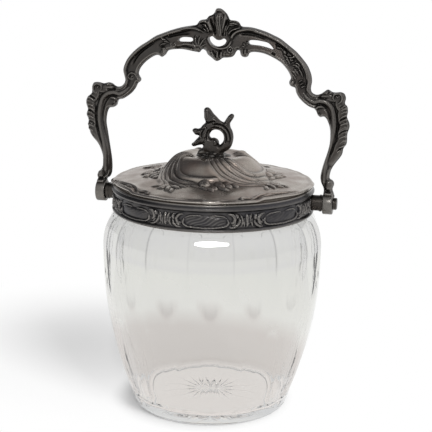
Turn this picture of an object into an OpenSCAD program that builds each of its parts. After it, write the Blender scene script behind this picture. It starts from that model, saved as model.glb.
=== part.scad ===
// Biscuit jar: a cut glass barrel, a stamped and plated collar bedded on its neck,
// a loose embossed lid with a cast finial, and a cast swing bail on two pivots.
// Millimetres. Origin at the centre of the foot, Z up, the pivots lie along X.

/* [Glass] */
// Greatest diameter of the barrel
jar_d = 140; // [120:1:180]
// Height of the greatest diameter above the foot
belly_z = 107; // [80:1:140]
// Diameter of the foot
foot_d = 101; // [80:1:120]
// Height of the shoulder curve above the greatest diameter
shoulder_h = 22; // [16:1:30]
// Length of the straight neck
neck_h = 13.4; // [10:0.2:18]
// Thickness of the wall
wall_t = 3.5; // [2.5:0.1:5]
// Thickness of the floor
floor_t = 7; // [5:0.5:10]
// Number of cut flutes in each row
flutes = 16; // [12:1:20]
// Height where the tall flutes begin
flute_z = 74; // [50:1:90]
// Height where the lancets end
lancet_z = 65; // [40:1:80]
// Deepest cut of the lancets
lancet_depth = 0.9; // [0.4:0.1:1.2]
// Number of rays in the star under the foot
star_rays = 16; // [8:2:20]
// Depth of the star's rays
star_depth = 1.4; // [0.6:0.1:2.5]

/* [Collar] */
// Diameter of the plain ground of the frieze, which the neck inside it and the lid on it follow
collar_d = 125.6; // [110:0.2:134]
// Height of the collar
collar_h = 16.5; // [14:0.5:24]
// Thickness of the collar's metal
collar_t = 1.4; // [1:0.1:1.6]
// Room for the plaster between the collar and the neck of the glass
bed_t = 3.4; // [2:0.1:6]
// How far the collar's mouth reaches in past the bore of the neck
mouth_in = 0.3; // [0.1:0.1:6]
// How far the mouldings stand out from the frieze
moulding_h = 1.5; // [0.5:0.1:2]
// Number of cartouches round the frieze
cartouches = 8; // [6:1:10]
// Height of the embossing on the frieze
relief_h = 1.4; // [0.5:0.1:1.5]

/* [Lid] */
// How far the lid's plain edge stands out past the ground of the frieze
lid_over = 0.4; // [0:0.1:3]
// Rise from the lid's edge to the foot of the dome
plate_rise = 6.3; // [4:0.1:10]
// Rise of the dome above the plate
dome_rise = 9.6; // [6:0.1:14]
// Radius of the foot of the dome
dome_r = 38; // [30:1:44]
// Radius of the dome's flat crown
crown_r = 17; // [10:1:22]
// Radius of the plain hub under the finial
hub_r = 7; // [5:0.5:10]
// Number of swirling lobes on the dome, each with its ridges, scroll and leaves
lobes = 4; // [3:1:6]
// Swell of a lobe above the dome
lobe_h = 3; // [1:0.1:4]
// Turn of the ridges between the crown and the plate, in degrees
swirl = 52; // [0:2:120]
// Height of the ridges, scrolls and leaves
emboss_h = 1.5; // [0.5:0.1:2]
// Turn of the loose lid on the jar, in degrees from the line of the pivots
lid_turn = -20; // [-45:1:45]
// Thickness of the lid's metal
lid_t = 1.3; // [1:0.1:2]
// Depth of the bezel below the lid's seat
bezel_h = 6; // [3:0.5:10]
// Thickness of the bezel's metal
bezel_t = 0.9; // [0.6:0.1:1.4]

/* [Finial] */
// Outer diameter of the finial's scroll ring
ring_d = 21.4; // [16:0.2:26]
// Thickness of the scroll ring's bar
ring_bar = 4.6; // [3:0.1:5.4]
// Height of the ring's centre above the hub of the lid
ring_z = 12.2; // [10:0.2:16]
// Diameter of the threaded stud
stud_d = 4; // [3:0.5:5]

/* [Bail] */
// Height of the bail's crest above the pivots
bail_h = 118.3; // [105:1:150]
// Lean of the upright bail towards the back, in degrees
bail_lean = 4; // [0:1:8]
// Greatest thickness of the bail's rails
bail_t = 6.8; // [5:0.1:8]
// Diameter of the eye at each end of the bail
eye_d = 13.6; // [10:0.2:16]
// Thickness of each eye
eye_t = 6.2; // [4:0.1:8]
// Diameter of the pivots
pin_d = 5; // [3:0.5:6]
// Length of the trunnions beyond the frieze
trunnion_l = 6.6; // [5:0.1:12]
// Diameter of the trunnions
trunnion_d = 10.6; // [8:0.2:13]
// Height of the screw's head
head_h = 2.4; // [1.5:0.1:4]

/* [Hidden] */
// Radial clearance of a turning fit
fit = 0.05;
// Gap between the faces of the eyes and their washers
face_gap = 0.15;
// Clearance of the plaster bed and the soldered seats
bed_gap = 0.06;
// Clearance of the bezel in the mouth
bezel_gap = 0.4;
// Film of solder between a trunnion's foot and the collar
solder = 0.04;
washer_t = 0.7;
washer_d = trunnion_d - 0.6;

jar_r = jar_d / 2;
foot_r = foot_d / 2;
collar_r = collar_d / 2;
neck_r = collar_r - collar_t - bed_t;
bore_r = neck_r - wall_t;
mouth_r = bore_r - mouth_in;
lid_r = collar_r + lid_over;
foot_edge = 2.9;
rest_r = foot_r - foot_edge;
recess_r = rest_r - 6;
recess_h = 0.8;
floor_round = 9;
neck_z = belly_z + shoulder_h;
glass_top = neck_z + neck_h;
collar_z = neck_z - 1;
collar_top = collar_z + collar_h;
pivot_z = collar_z + 7.6;

function lerp(a, b, t) = a + (b - a) * t;
function clamp(x) = max(0, min(1, x));
function smooth(x) = let (t = clamp(x)) t * t * (3 - 2 * t);
function bezier(a, b, c, d, t) =
    let (s = 1 - t) s*s*s*a + 3*s*s*t*b + 3*s*t*t*c + t*t*t*d;

// A smooth curve through the points p, n steps to a span
function spline_at(p, i, t) =
    let (k = len(p) - 1, a = p[max(i - 1, 0)], b = p[i], c = p[i + 1], d = p[min(i + 2, k)])
    0.5 * (2*b + (c - a)*t + (2*a - 5*b + 4*c - d)*t*t + (3*b - a - 3*c + d)*t*t*t);
function spline(p, n) =
    [for (i = [0:len(p) - 2], j = [0:n - 1]) spline_at(p, i, j / n), p[len(p) - 1]];

// A closed skin over rings of points, all with the same number of points
module skin(rings) {
    n = len(rings[0]);
    m = len(rings);
    points = [for (r = rings, p = r) p];
    sides = [for (i = [0:m - 2], j = [0:n - 1]) let (k = (j + 1) % n)
        each [[i*n + j, i*n + k, (i + 1)*n + k], [i*n + j, (i + 1)*n + k, (i + 1)*n + j]]];
    start = [for (j = [n - 1:-1:0]) j];
    end = [for (j = [0:n - 1]) (m - 1)*n + j];
    polyhedron(points, concat(sides, [start, end]), convexity = 8);
}

// A closed ring: the same closed section repeated at every angle
module ring_skin(sections) {
    n = len(sections[0]);
    m = len(sections);
    points = [for (s = sections, p = s) p];
    faces = [for (i = [0:m - 1], j = [0:n - 1])
        let (a = i*n, b = ((i + 1) % m)*n, k = (j + 1) % n)
        each [[a + j, b + k, b + j], [a + j, a + k, b + k]]];
    polyhedron(points, faces, convexity = 8);
}

// ---- Glass ----
belly_steps = 14;
shoulder_steps = 8;
belly_low = [foot_r, 3];
belly_high = [jar_r, belly_z];
function belly(t, low, high) =
    bezier(low, low + [9, 0.22*(high[1] - low[1])], high - [0, 0.5*(high[1] - low[1])], high, t);
function belly_curve(low, high) = [for (i = [0:belly_steps]) belly(i/belly_steps, low, high)];
function shoulder_curve(r, w, h, shift = 0) =
    [for (i = [1:shoulder_steps]) let (a = 90*(i - shift)/shoulder_steps)
        [r + w*cos(a), belly_z + h*sin(a)]];
shoulder_w = jar_r - neck_r;
inner_low = [foot_r - 0.2, floor_t + floor_round];
outer_side = concat(belly_curve(belly_low, belly_high), shoulder_curve(neck_r, shoulder_w, shoulder_h));
inner_side = concat(belly_curve(inner_low, [jar_r - wall_t, belly_z]),
    shoulder_curve(bore_r, shoulder_w, shoulder_h - 0.4*wall_t));

// A cutter that takes a flat across the wall, along the line p of radius and height
module flat_cutter(p) {
    reach = 14;
    width = 40;
    far = jar_r + reach;
    rotate([90, 0, 0])
        linear_extrude(width, center = true)
            polygon(concat(p, [[far, p[len(p) - 1][1]], [far, p[0][1]]]));
}

pitch = 360/flutes;
// Half a step along the wall, so a cut's corners never stand at the height of a ring of the wall
cut_wall = [for (i = [0:belly_steps - 1]) belly((i + 0.5)/belly_steps, belly_low, belly_high)];
// The flats of the tall row meet along sharp arrises at the shoulder, and run out under the collar
flute_depth = jar_r*(1 - cos(pitch/2)) + 0.1;
flute_line = concat(
    [for (q = cut_wall) if (q[1] > flute_z - 12)
        q - [flute_depth*(q[1] - flute_z)/(belly_z - flute_z), 0]],
    [for (q = shoulder_curve(neck_r, shoulder_w, shoulder_h, 0.5))
        q - [flute_depth*smooth((neck_z + 1 - q[1])/6) - 0.3, 0]]);
// The lancets are deepest low on the wall, and run out above the foot
lancet_deep_z = 14;
lancet_line =
    [for (q = cut_wall) if (q[1] < lancet_z + 12)
        q - [lancet_depth*min((lancet_z - q[1])/(lancet_z - lancet_deep_z),
            (q[1] - foot_edge - 2)/(lancet_deep_z - foot_edge - 2)), 0]];

// One ray of the star, a shallow groove that runs out at both ends
module star_ray() {
    half_w = 2.4;
    start = 1.5;
    peak = 13;
    end = recess_r - 1.5;
    // the kite stands a little below the ground of the foot, and its point is the groove's deepest place
    low = recess_h - 0.3;
    polyhedron([[start, 0, -1], [peak, -half_w, -1], [end, 0, -1], [peak, half_w, -1],
            [start, 0, low], [peak, -half_w, low], [end, 0, low], [peak, half_w, low],
            [peak, 0, recess_h + star_depth]],
        [[0, 1, 2, 3], [0, 4, 5, 1], [1, 5, 6, 2], [2, 6, 7, 3], [3, 7, 4, 0],
            [4, 8, 5], [5, 8, 6], [6, 8, 7], [7, 8, 4]]);
}

module glass_jar() {
    color([0.86, 0.9, 0.9, 0.45])
        difference() {
            rotate_extrude($fn = 128)
                polygon(concat([[0, recess_h], [recess_r, recess_h], [recess_r + 0.8, 0], [rest_r, 0],
                        [foot_r - 0.7, 1]],
                    outer_side,
                    [[neck_r, glass_top - 0.8], [neck_r - 0.8, glass_top], [bore_r + 0.8, glass_top],
                        [bore_r, glass_top - 0.8]],
                    [for (i = [len(inner_side) - 1:-1:0]) inner_side[i]],
                    [for (a = [15:15:90]) inner_low - [floor_round*(1 - cos(a)), floor_round*sin(a)]],
                    [[0, floor_t]]));
            for (i = [0:flutes - 1]) {
                rotate(pitch*(i + 0.5)) flat_cutter(flute_line);
                rotate(pitch*i) flat_cutter(lancet_line);
            }
            for (i = [0:star_rays - 1]) rotate(360*i/star_rays) star_ray();
        }
}

// ---- Plaster bed and collar ----
flange_t = 1.5;
bed_top = collar_top - flange_t - bed_gap;
bed_bottom = collar_z + 1.4;
bed_out = collar_r - collar_t - bed_gap;
module plaster_bed() {
    color([0.85, 0.83, 0.78])
        rotate_extrude($fn = 128)
            polygon(concat(
                [[neck_r + bed_gap, bed_top], [bed_out, bed_top], [bed_out, bed_bottom]],
                [[neck_r + bed_gap, bed_bottom]]));
}

cartouche_turn = -82;
// Height of the embossing at angle a and share v of the frieze's height: an oval frame with a domed
// panel in it, and a cluster of leaves between one frame and the next
function cartouche(a, v) =
    let (
        u = ((a - cartouche_turn + 900)*cartouches/360) % 1,
        x = 2*abs(u - 0.5),
        y = 2*v - 1,
        oval = sqrt(pow(x/0.56, 4) + pow(y/0.7, 4)),
        frame = exp(-pow((oval - 1)/0.16, 2)),
        panel = 0.5*smooth((1 - oval)/0.6),
        leaves = smooth((x - 0.6)/0.06)*(0.55 + 0.45*cos(360*2*(x - 0.6)/0.4 - 90*y))
    )
    max(frame, panel, leaves)*smooth((1 - abs(y))/0.14);
// The frieze is left plain where a trunnion is soldered on, and for one column beyond it
collar_cols = 12*cartouches;
pad_r = trunnion_d/2 + PI*collar_d/collar_cols;
function plain_pad(a, z) =
    let (s = min(abs((a + 720) % 180), 180 - abs((a + 720) % 180))*PI/180*collar_r)
    smooth((norm([s, z - pivot_z]) - pad_r)/1.5);

// Mouldings of the collar: share of its height, and share of their height out from the frieze
collar_rows = [[0, 0.4], [0.06, 0.8], [0.12, 0.5], [0.16, 0],
    [0.22, 0], [0.3, 0], [0.4, 0], [0.5, 0], [0.6, 0], [0.68, 0],
    [0.745, 0], [0.78, 0.6], [0.84, 1], [0.9, 0.7], [0.93, 0.3], [1, 0.1]];
function collar_point(row, out) = [collar_r + moulding_h*row[1] + out, collar_z + row[0]*collar_h];
frieze_low = 0.16;
frieze_high = 0.745;
module collar_band() {
    in_r = collar_r - collar_t;
    color([0.36, 0.34, 0.31])
        ring_skin([for (i = [0:collar_cols - 1]) let (a = 360*i/collar_cols)
            concat(
                [for (row = collar_rows)
                    let (v = clamp((row[0] - frieze_low)/(frieze_high - frieze_low)),
                        z = collar_point(row, 0)[1],
                        r = collar_point(row, relief_h*cartouche(a, v)*plain_pad(a, z))[0])
                    [r*cos(a), r*sin(a), z]],
                [for (q = [[mouth_r, collar_top], [mouth_r, collar_top - flange_t],
                        [in_r, collar_top - flange_t], [in_r, collar_z]])
                    [q[0]*cos(a), q[0]*sin(a), q[1]]])]);
}

// ---- Trunnions, washers and pivots ----
trunnion_end = collar_r + trunnion_l;
eye_in = trunnion_end + washer_t + face_gap;
eye_out = eye_in + eye_t;
head_gap = face_gap;
pin_root = collar_r + 1;

// Turns a shape drawn up the Z axis to point outwards along X, at the pivots
module outwards(side) translate([0, 0, pivot_z]) rotate([0, 90*side, 0]) children();

module trunnion(side) {
    flange_l = 1.2;
    color([0.4, 0.38, 0.35])
        difference() {
            outwards(side) {
                translate([0, 0, collar_r - 2]) cylinder(h = trunnion_l + 2, d = trunnion_d - 0.8, $fn = 64);
                translate([0, 0, trunnion_end - flange_l]) cylinder(h = flange_l, d = trunnion_d, $fn = 64);
            }
            // its foot is filed to the collar and its mouldings
            rotate_extrude($fn = 128)
                polygon(concat([[0, collar_z]], [for (row = collar_rows) collar_point(row, solder)],
                    [[0, collar_top]]));
            outwards(side) translate([0, 0, pin_root]) cylinder(h = 2*trunnion_l, d = pin_d, $fn = 64);
        }
}
module left_trunnion() trunnion(-1);
module right_trunnion() trunnion(1);

module washer(side) {
    color([0.6, 0.57, 0.5])
        outwards(side)
            translate([0, 0, trunnion_end])
                difference() {
                    cylinder(h = washer_t, d = washer_d, $fn = 64);
                    translate([0, 0, -1]) cylinder(h = washer_t + 2, r = pin_d/2 + fit, $fn = 64);
                }
}
module left_washer() washer(-1);
module right_washer() washer(1);

head_d = 1.5*pin_d;
module right_screw() {
    slot_w = 1;
    slot_h = 1;
    color([0.45, 0.43, 0.4])
        outwards(1)
            difference() {
                union() {
                    translate([0, 0, pin_root])
                        cylinder(h = eye_out + head_gap - pin_root, d = pin_d, $fn = 64);
                    translate([0, 0, eye_out + head_gap]) cylinder(h = head_h - 0.5, d = head_d, $fn = 64);
                    translate([0, 0, eye_out + head_gap + head_h - 0.5])
                        cylinder(h = 0.5, d1 = head_d, d2 = head_d - 1, $fn = 64);
                }
                translate([0, 0, eye_out + head_gap + head_h])
                    cube([head_d + 2, slot_w, 2*slot_h], center = true);
            }
}
module left_rivet() {
    rivet_h = 1.2;
    dome = (pow(head_d/2, 2) + rivet_h*rivet_h)/(2*rivet_h);
    color([0.45, 0.43, 0.4])
        outwards(-1) {
            translate([0, 0, pin_root]) cylinder(h = eye_out + head_gap - pin_root, d = pin_d, $fn = 64);
            translate([0, 0, eye_out + head_gap])
                intersection() {
                    translate([0, 0, rivet_h - dome]) sphere(r = dome, $fn = 64);
                    cylinder(h = rivet_h, d = head_d, $fn = 64);
                }
        }
}

// ---- Bail ----
eye_mid = (eye_in + eye_out)/2;
// Outer and inner rails of one arm, from the crest down to the eye, as shares of
// the distance from the centre to the eye and of the height of the crest
arm = [
    [[0.14, 0.895], [0.14, 0.775]], [[0.27, 0.908], [0.26, 0.782]], [[0.41, 0.886], [0.385, 0.772]],
    [[0.545, 0.842], [0.49, 0.738]], [[0.667, 0.781], [0.576, 0.69]], [[0.762, 0.715], [0.633, 0.638]],
    [[0.812, 0.65], [0.672, 0.594]], [[0.806, 0.596], [0.714, 0.549]], [[0.83, 0.569], [0.776, 0.513]],
    [[0.878, 0.567], [0.838, 0.498]], [[0.945, 0.593], [0.885, 0.492]], [[1.02, 0.585], [0.918, 0.478]],
    [[1.09, 0.583], [0.952, 0.462]], [[1.115, 0.52], [0.98, 0.43]], [[1.14, 0.44], [0.993, 0.388]],
    [[1.137, 0.363], [0.995, 0.338]], [[1.113, 0.292], [0.984, 0.279]], [[1.065, 0.245], [0.966, 0.232]],
    [[1.025, 0.198], [0.947, 0.19]], [[1.006, 0.143], [0.931, 0.143]], [[1.02, 0.095], [0.939, 0.09]],
    [[1.03, 0.035], [0.965, 0.03]]];
arm_steps = 2;
// Section across an arm: share of its width, and share of the bail's half thickness
arm_section = [[0, 0], [0.06, 0.65], [0.17, 0.82], [0.34, 0.53],
    [0.6, 0.56], [0.74, 0.97], [0.9, 1], [1, 0]];
bail_half = bail_t/2;
leaf_start = 12/21;
leaf_end = 17/21;
leaf_lobes = 5;
leaf_out = 0.32*bail_half;

function arm_point(p) = [p[0]*eye_mid, p[1]*bail_h];
module bail_arm(side) {
    outer = spline([for (q = arm) arm_point(q[0])], arm_steps);
    inner = spline([for (q = arm) arm_point(q[1])], arm_steps);
    last = len(outer) - 1;
    half = len(arm_section) - 1;
    loop = concat(arm_section, [for (k = [half - 1:-1:1]) [arm_section[k][0], -arm_section[k][1]]]);
    rings = [for (i = [0:last])
        let (
            t = i/last,
            leaf = t > leaf_start && t < leaf_end
                ? leaf_out*abs(sin(180*leaf_lobes*(t - leaf_start)/(leaf_end - leaf_start))) : 0,
            across = outer[i] - inner[i],
            o = outer[i] + leaf*across/norm(across)
        )
        [for (s = loop) let (q = lerp(inner[i], o, s[0])) [side*q[0], s[1]*bail_half, q[1]]]];
    if (side < 0) skin(rings);
    else skin([for (r = rings) [for (k = [len(r) - 1:-1:0]) r[k]]]);
}

// A rounded knob on the bail, at a share of its half width and height, in shares of its half thickness
module bail_knob(at, size) {
    q = arm_point(at);
    translate([q[0], 0, q[1]]) scale(bail_half*size) sphere(1, $fn = 10);
}
module bail_knobs(x, z, size) for (s = [-1, 1]) bail_knob([x*s, z], size);

// One leaf of the crest, from the crest's root upwards, turned by the angle a
crest_root = 0.83*bail_h;
module crest_leaf(a, length) {
    translate([0, 0, crest_root])
        rotate([0, a, 0])
            translate([0, 0, length/2])
                scale([1.1*bail_half, 0.9*bail_half, length/2 + 0.3*bail_half]) sphere(1, $fn = 12);
}

// A slot through the arch, at a share of the half width and height
module arch_slot(at, length, width, turn) {
    q = arm_point(at);
    translate([q[0], 0, q[1]])
        rotate([90, turn, 0])
            linear_extrude(3*bail_t, center = true)
                intersection() {
                    square([length, width], center = true);
                    circle(d = length, $fn = 20);
                }
}

module bail_casting() {
    crest_leaves = 5;
    opening_r = 0.041*bail_h;
    difference() {
        union() {
            bail_arm(1);
            bail_arm(-1);
            // palmette of the crest and the scrolls beside it
            for (i = [0:crest_leaves - 1])
                let (k = i - (crest_leaves - 1)/2) crest_leaf(22*k, 0.168*bail_h*(1 - 0.1*abs(k)));
            bail_knobs(0.135, 0.905, [1.24, 1, 1.18]);
            // pendant under the crest
            bail_knob([0, 0.764], [1.76, 0.94, 1.47]);
            bail_knobs(0.11, 0.775, [1.35, 0.94, 1.18]);
            bail_knobs(0.24, 0.77, [0.68, 0.82, 0.68]);
            // scroll ends on the arms
            bail_knobs(0.64, 0.62, [0.7, 0.76, 0.68]);
            bail_knobs(0.9, 0.468, [0.8, 0.88, 0.65]);
            bail_knobs(0.952, 0.59, [0.65, 0.88, 0.65]);
            bail_knobs(1.085, 0.575, [0.94, 1, 1]);
            bail_knobs(1.035, 0.1, [0.7, 0.82, 0.74]);
            for (s = [-1, 1])
                translate([s*eye_mid, 0, 0])
                    rotate([0, 90, 0]) cylinder(h = eye_t, d = eye_d, center = true, $fn = 40);
        }
        // pierced opening of the crest, a kidney shape with its flat side up
        translate([0, 0, crest_root])
            rotate([90, 0, 0])
                linear_extrude(3*bail_t, center = true)
                    intersection() {
                        scale([1.25, 1]) circle(r = opening_r, $fn = 28);
                        translate([-2*opening_r, -2*opening_r]) square([4*opening_r, 2.45*opening_r]);
                    }
        arch_slot([-0.27, 0.835], 0.068*bail_h, 0.025*bail_h, -6);
        arch_slot([0.38, 0.822], 0.122*bail_h, 0.03*bail_h, 12);
    }
}

module bail_handle() {
    color([0.3, 0.28, 0.26])
        translate([0, 0, pivot_z])
            rotate([-bail_lean, 0, 0])
                difference() {
                    resize([2*1.157*eye_mid, 0, 0]) bail_casting();
                    for (s = [-1, 1])
                        translate([s*eye_mid, 0, 0])
                            rotate([0, 90, 0])
                                cylinder(h = 3*eye_t, r = pin_d/2 + fit, center = true, $fn = 64);
                }
}

// ---- Lid ----
seat_z = collar_top;
lip_w = 2.1;
flange_r = lid_r - lip_w;
edge_z = seat_z + 1.9;
hub_z = edge_z + plate_rise + dome_rise;
arch_h = 1.4;
tip_out = 1.5;
function plate_z(r) = edge_z + plate_rise*(1 - pow(clamp((r - hub_r)/(lid_r - hub_r)), 1.5));
function lid_mean(r) = plate_z(r) + dome_rise*smooth((dome_r - r)/(dome_r - crown_r));

// An angle brought to within half a period of zero
function wrapped(a, period) = ((a + 720 + period/2) % period) - period/2;
function bump(x, w) = exp(-x*x/(w*w));
lobe_pitch = 360/lobes;
// Angle of the bundle of ridges at radius r, from the middle of the lobe beside it
ridge_from_r = 1.06*crown_r;
ridge_end_r = 1.1*dome_r;
function ridge_at(r) = -swirl*(1 - pow(clamp((r - ridge_from_r)/(ridge_end_r - ridge_from_r)), 1.6));

// Each lobe swells between two bundles of ridges that wind out from beside the finial
bundle_w = 4.6;
lobe_mid_r = 0.62*dome_r;
lobe_w = 0.18*dome_r;
function swell(r, a) =
    let (off = abs(wrapped(a - ridge_at(r), lobe_pitch))*PI/180*r)
    lobe_h*bump(r - lobe_mid_r, lobe_w)*(0.45 + 0.55*smooth((off - 0.6*bundle_w)/6))
        *smooth((r - hub_r)/6);
function bundle(r, a) =
    let (off = wrapped(a - ridge_at(r), lobe_pitch)*PI/180*r)
    0.45*(1 + cos(360*off/bundle_w))*smooth((1.5*bundle_w - abs(off))/1.5)
        *smooth((r - ring_r)/4)*smooth((ridge_end_r - r)/6);
// The scroll round the foot of a lobe, and the leaves that spring from it and from the ridges' end
scroll_r = 0.83*dome_r;
function scroll(r, a) =
    let (b = wrapped(a - 20, lobe_pitch))
    bump(r - scroll_r - 0.04*b, 2)*smooth((38 - abs(b))/10);
function spray(r, a, at, at_r, leaf_l, leaf_w, leaves) =
    let (b = wrapped(a - at, lobe_pitch), share = (r - at_r)/leaf_l, fan = leaf_w*leaves*(0.4 + 0.35*share))
    smooth(share/0.3)*smooth((1 - share)/0.35)*smooth((fan - abs(b))/(0.4*leaf_w))
        *(0.5 + 0.5*cos(360*b/(leaf_w*(0.8 + 0.7*share))));
function emboss(r, a) =
    emboss_h*max(bundle(r, a), scroll(r, a), spray(r, a, 34, scroll_r + 1, 0.37*dome_r, 11, 4),
        spray(r, a, 0, ridge_end_r - 6, 0.39*dome_r, 9, 3));

// The lip stands up round the edge. On both sides of the front it lifts steeply to an arch that
// falls away slowly behind, and it has a small tip in the low part between the two arches
rim_mid = 19;
tip_at = rim_mid + 12;
function arch(a) =
    let (b = abs(wrapped(a - rim_mid, 360))/lobe_pitch)
    arch_h*smooth((b - 0.41)/0.06)*smooth((0.87 - b)/0.33);
function tip(a) = tip_out*smooth((6 - abs(wrapped(a - tip_at, 360)))/4);
function rim_r(a) = lid_r + tip(a) - 0.2*arch(a);

// Rings of the lid as shares of the way from the hub to the edge
top_shares = [0, 0.07, 0.13, 0.19, 0.25, 0.31, 0.37, 0.43, 0.49, 0.55, 0.61, 0.68, 0.75, 0.83, 0.945];
under_shares = [0.86, 0.62, 0.46, 0.3, 0.16, 0];
lid_cols = 18*lobes;
module lid_shell() {
    color([0.55, 0.5, 0.46])
        rotate(lid_turn - 90)
            difference() {
                skin(concat(
                    [lid_ring(function(a) 0.5, function(a) hub_z)],
                    [for (t = top_shares) let (r = lerp(hub_r, lid_r, t))
                        lid_ring(function(a) r, function(a) lid_mean(r) + swell(r, a) + emboss(r, a))],
                    [for (e = [[0.9*lip_w, 0.3, 1], [0.45*lip_w, 0.5, 1], [0, -0.1, 0.8]])
                        lid_ring(function(a) rim_r(a) - e[0], function(a) edge_z + e[1] + e[2]*arch(a))],
                    [lid_ring(function(a) rim_r(a) - 0.1, function(a) lip_z(a)),
                        lid_ring(function(a) flange_r + bed_gap, function(a) lip_z(a)),
                        lid_ring(function(a) flange_r + bed_gap, function(a) seat_z + bezel_t + bed_gap)],
                    [for (t = under_shares) let (r = lerp(hub_r, flange_r, t))
                        lid_ring(function(a) r, function(a) lid_mean(r) - under_drop(r) + 0.6*swell(r, a))],
                    [lid_ring(function(a) 0.5, function(a) hub_z - lid_t)]));
                translate([0, 0, hub_z - 10]) cylinder(h = 20, r = stud_d/2 + fit, $fn = 48);
            }
}
// One ring of the lid, from its radius and its height at every angle
function lid_ring(radius, height) =
    [for (i = [0:lid_cols - 1]) let (a = 360*i/lid_cols, r = radius(a)) [r*cos(a), r*sin(a), height(a)]];
function lip_z(a) = seat_z + 0.2 + 0.7*arch(a);
// The metal is drawn down a little more on the steep side of the dome
function under_drop(r) = lid_t*(1 + 0.5*smooth((dome_r - r)/8)*smooth((r - hub_r)/6));

bezel_r = mouth_r - bezel_gap;
module lid_bezel() {
    color([0.5, 0.47, 0.42])
        rotate_extrude($fn = 128)
            polygon([[bezel_r - bezel_t, seat_z - bezel_h], [bezel_r, seat_z - bezel_h], [bezel_r, seat_z],
                [flange_r, seat_z], [flange_r, seat_z + bezel_t], [bezel_r - bezel_t, seat_z + bezel_t]]);
}

// ---- Finial ----
finial_base_z = hub_z;
ring_r = ring_d/2;
// A leaf from the place at, which is given in shares of the ring's radius, as all its sizes are
module finial_leaf(at, turn, length, width, thick) {
    translate(ring_r*at) rotate([0, turn, 0]) translate([0, 0, ring_r*length/2])
        scale(ring_r/2*[width, thick, length]) sphere(1, $fn = 10);
}
module finial_casting() {
    mid = ring_r - ring_bar/2;
    turns = 20;
    root_leaves = 6;
    skin([for (i = [0:turns])
        let (t = i/turns, a = -95 - 345*t, r = mid*(1 - 0.19*smooth((t - 0.8)/0.2)),
            w = ring_bar/2*(1 - 0.45*smooth((t - 0.75)/0.25)))
        [for (k = [0:7]) let (b = 45*k, q = r + w*cos(b)) [q*cos(a), 1.1*w*sin(b), ring_z + q*sin(a)]]]);
    // leaves thrown off the ring
    translate([0, 0, ring_z]) {
        finial_leaf([-0.33, 0, 0.7], -12, 1.03, 0.56, 0.52);
        finial_leaf([0.56, 0, 0.65], 42, 0.98, 0.32, 0.34);
        finial_leaf([-0.65, 0, 0.24], -80, 0.75, 0.37, 0.37);
        finial_leaf([-0.65, 0, -0.28], -112, 0.8, 0.41, 0.37);
    }
    // knot of leaves at the root
    for (i = [0:root_leaves - 1])
        rotate(360*i/root_leaves) finial_leaf([0.14, 0, 0.09], 68, 0.82, 0.56, 0.32);
    cylinder(h = 0.34*ring_r, r1 = 0.62*ring_r, r2 = 0.42*ring_r, $fn = 24);
}
module finial() {
    foot_r = 0.8*ring_r;
    color([0.28, 0.26, 0.24])
        translate([0, 0, finial_base_z])
            difference() {
                intersection() {
                    resize([0, 2*foot_r, 0]) finial_casting();
                    translate([-3*ring_d, -3*ring_d, 0]) cube(6*ring_d);
                }
                translate([0, 0, -1]) cylinder(h = 1 + stud_in, d = stud_d, $fn = 48);
            }
}
stud_in = 4;
nut_h = 3;
washer_lid_t = 0.8;
under_hub_z = hub_z - lid_t;
stud_low = under_hub_z - washer_lid_t - nut_h - 1.5;
module finial_stud() {
    color([0.6, 0.5, 0.3])
        translate([0, 0, stud_low])
            cylinder(h = finial_base_z + stud_in - stud_low, d = stud_d, $fn = 48);
}
module finial_washer() {
    color([0.6, 0.5, 0.3])
        translate([0, 0, under_hub_z - washer_lid_t])
            difference() {
                cylinder(h = washer_lid_t, d = 2.7*stud_d, $fn = 48);
                translate([0, 0, -1]) cylinder(h = washer_lid_t + 2, r = stud_d/2 + fit, $fn = 48);
            }
}
module finial_nut() {
    color([0.6, 0.5, 0.3])
        translate([0, 0, under_hub_z - washer_lid_t - nut_h])
            difference() {
                cylinder(h = nut_h, d = 2*stud_d, $fn = 6);
                translate([0, 0, -1]) cylinder(h = nut_h + 2, d = stud_d, $fn = 48);
            }
}

glass_jar();
plaster_bed();
collar_band();
left_trunnion();
right_trunnion();
left_washer();
right_washer();
left_rivet();
right_screw();
bail_handle();
lid_shell();
lid_bezel();
finial();
finial_stud();
finial_washer();
finial_nut();
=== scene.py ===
"""A cut glass biscuit jar with an embossed metal collar and lid, a cast finial and a pierced swing bail."""
import math

import bpy
import numpy as np
from mathutils import Matrix, Vector


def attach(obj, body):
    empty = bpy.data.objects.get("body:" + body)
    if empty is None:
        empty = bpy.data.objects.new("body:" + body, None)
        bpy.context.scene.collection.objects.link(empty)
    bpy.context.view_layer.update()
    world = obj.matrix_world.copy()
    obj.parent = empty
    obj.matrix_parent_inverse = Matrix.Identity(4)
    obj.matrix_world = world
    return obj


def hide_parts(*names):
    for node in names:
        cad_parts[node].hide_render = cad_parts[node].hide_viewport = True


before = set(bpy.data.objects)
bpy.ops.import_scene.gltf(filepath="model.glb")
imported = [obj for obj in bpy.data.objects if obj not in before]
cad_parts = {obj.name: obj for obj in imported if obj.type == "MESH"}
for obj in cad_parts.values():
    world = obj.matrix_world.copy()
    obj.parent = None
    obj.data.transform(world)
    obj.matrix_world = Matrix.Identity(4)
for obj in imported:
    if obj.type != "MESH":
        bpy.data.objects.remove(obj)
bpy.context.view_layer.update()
bpy.ops.object.select_all(action="DESELECT")
scene = bpy.context.scene
MM = 0.001

# ---- Sizes in mm, the same as the frame's ----
PIVOT_Z = 135.6
BAIL_LEAN = 4.0
COLLAR_R, COLLAR_Z, COLLAR_H, COLLAR_T, MOUTH_R = 62.8, 128.0, 16.5, 1.4, 54.2
SEAT_Z = COLLAR_Z + COLLAR_H
EDGE_Z = SEAT_Z + 1.9
LID_R, LID_T = 63.2, 1.3
PLATE_RISE, DOME_RISE = 6.3, 9.6
DOME_R, CROWN_R, HUB_R = 38.0, 17.0, 7.0
HUB_Z = EDGE_Z + PLATE_RISE + DOME_RISE

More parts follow.
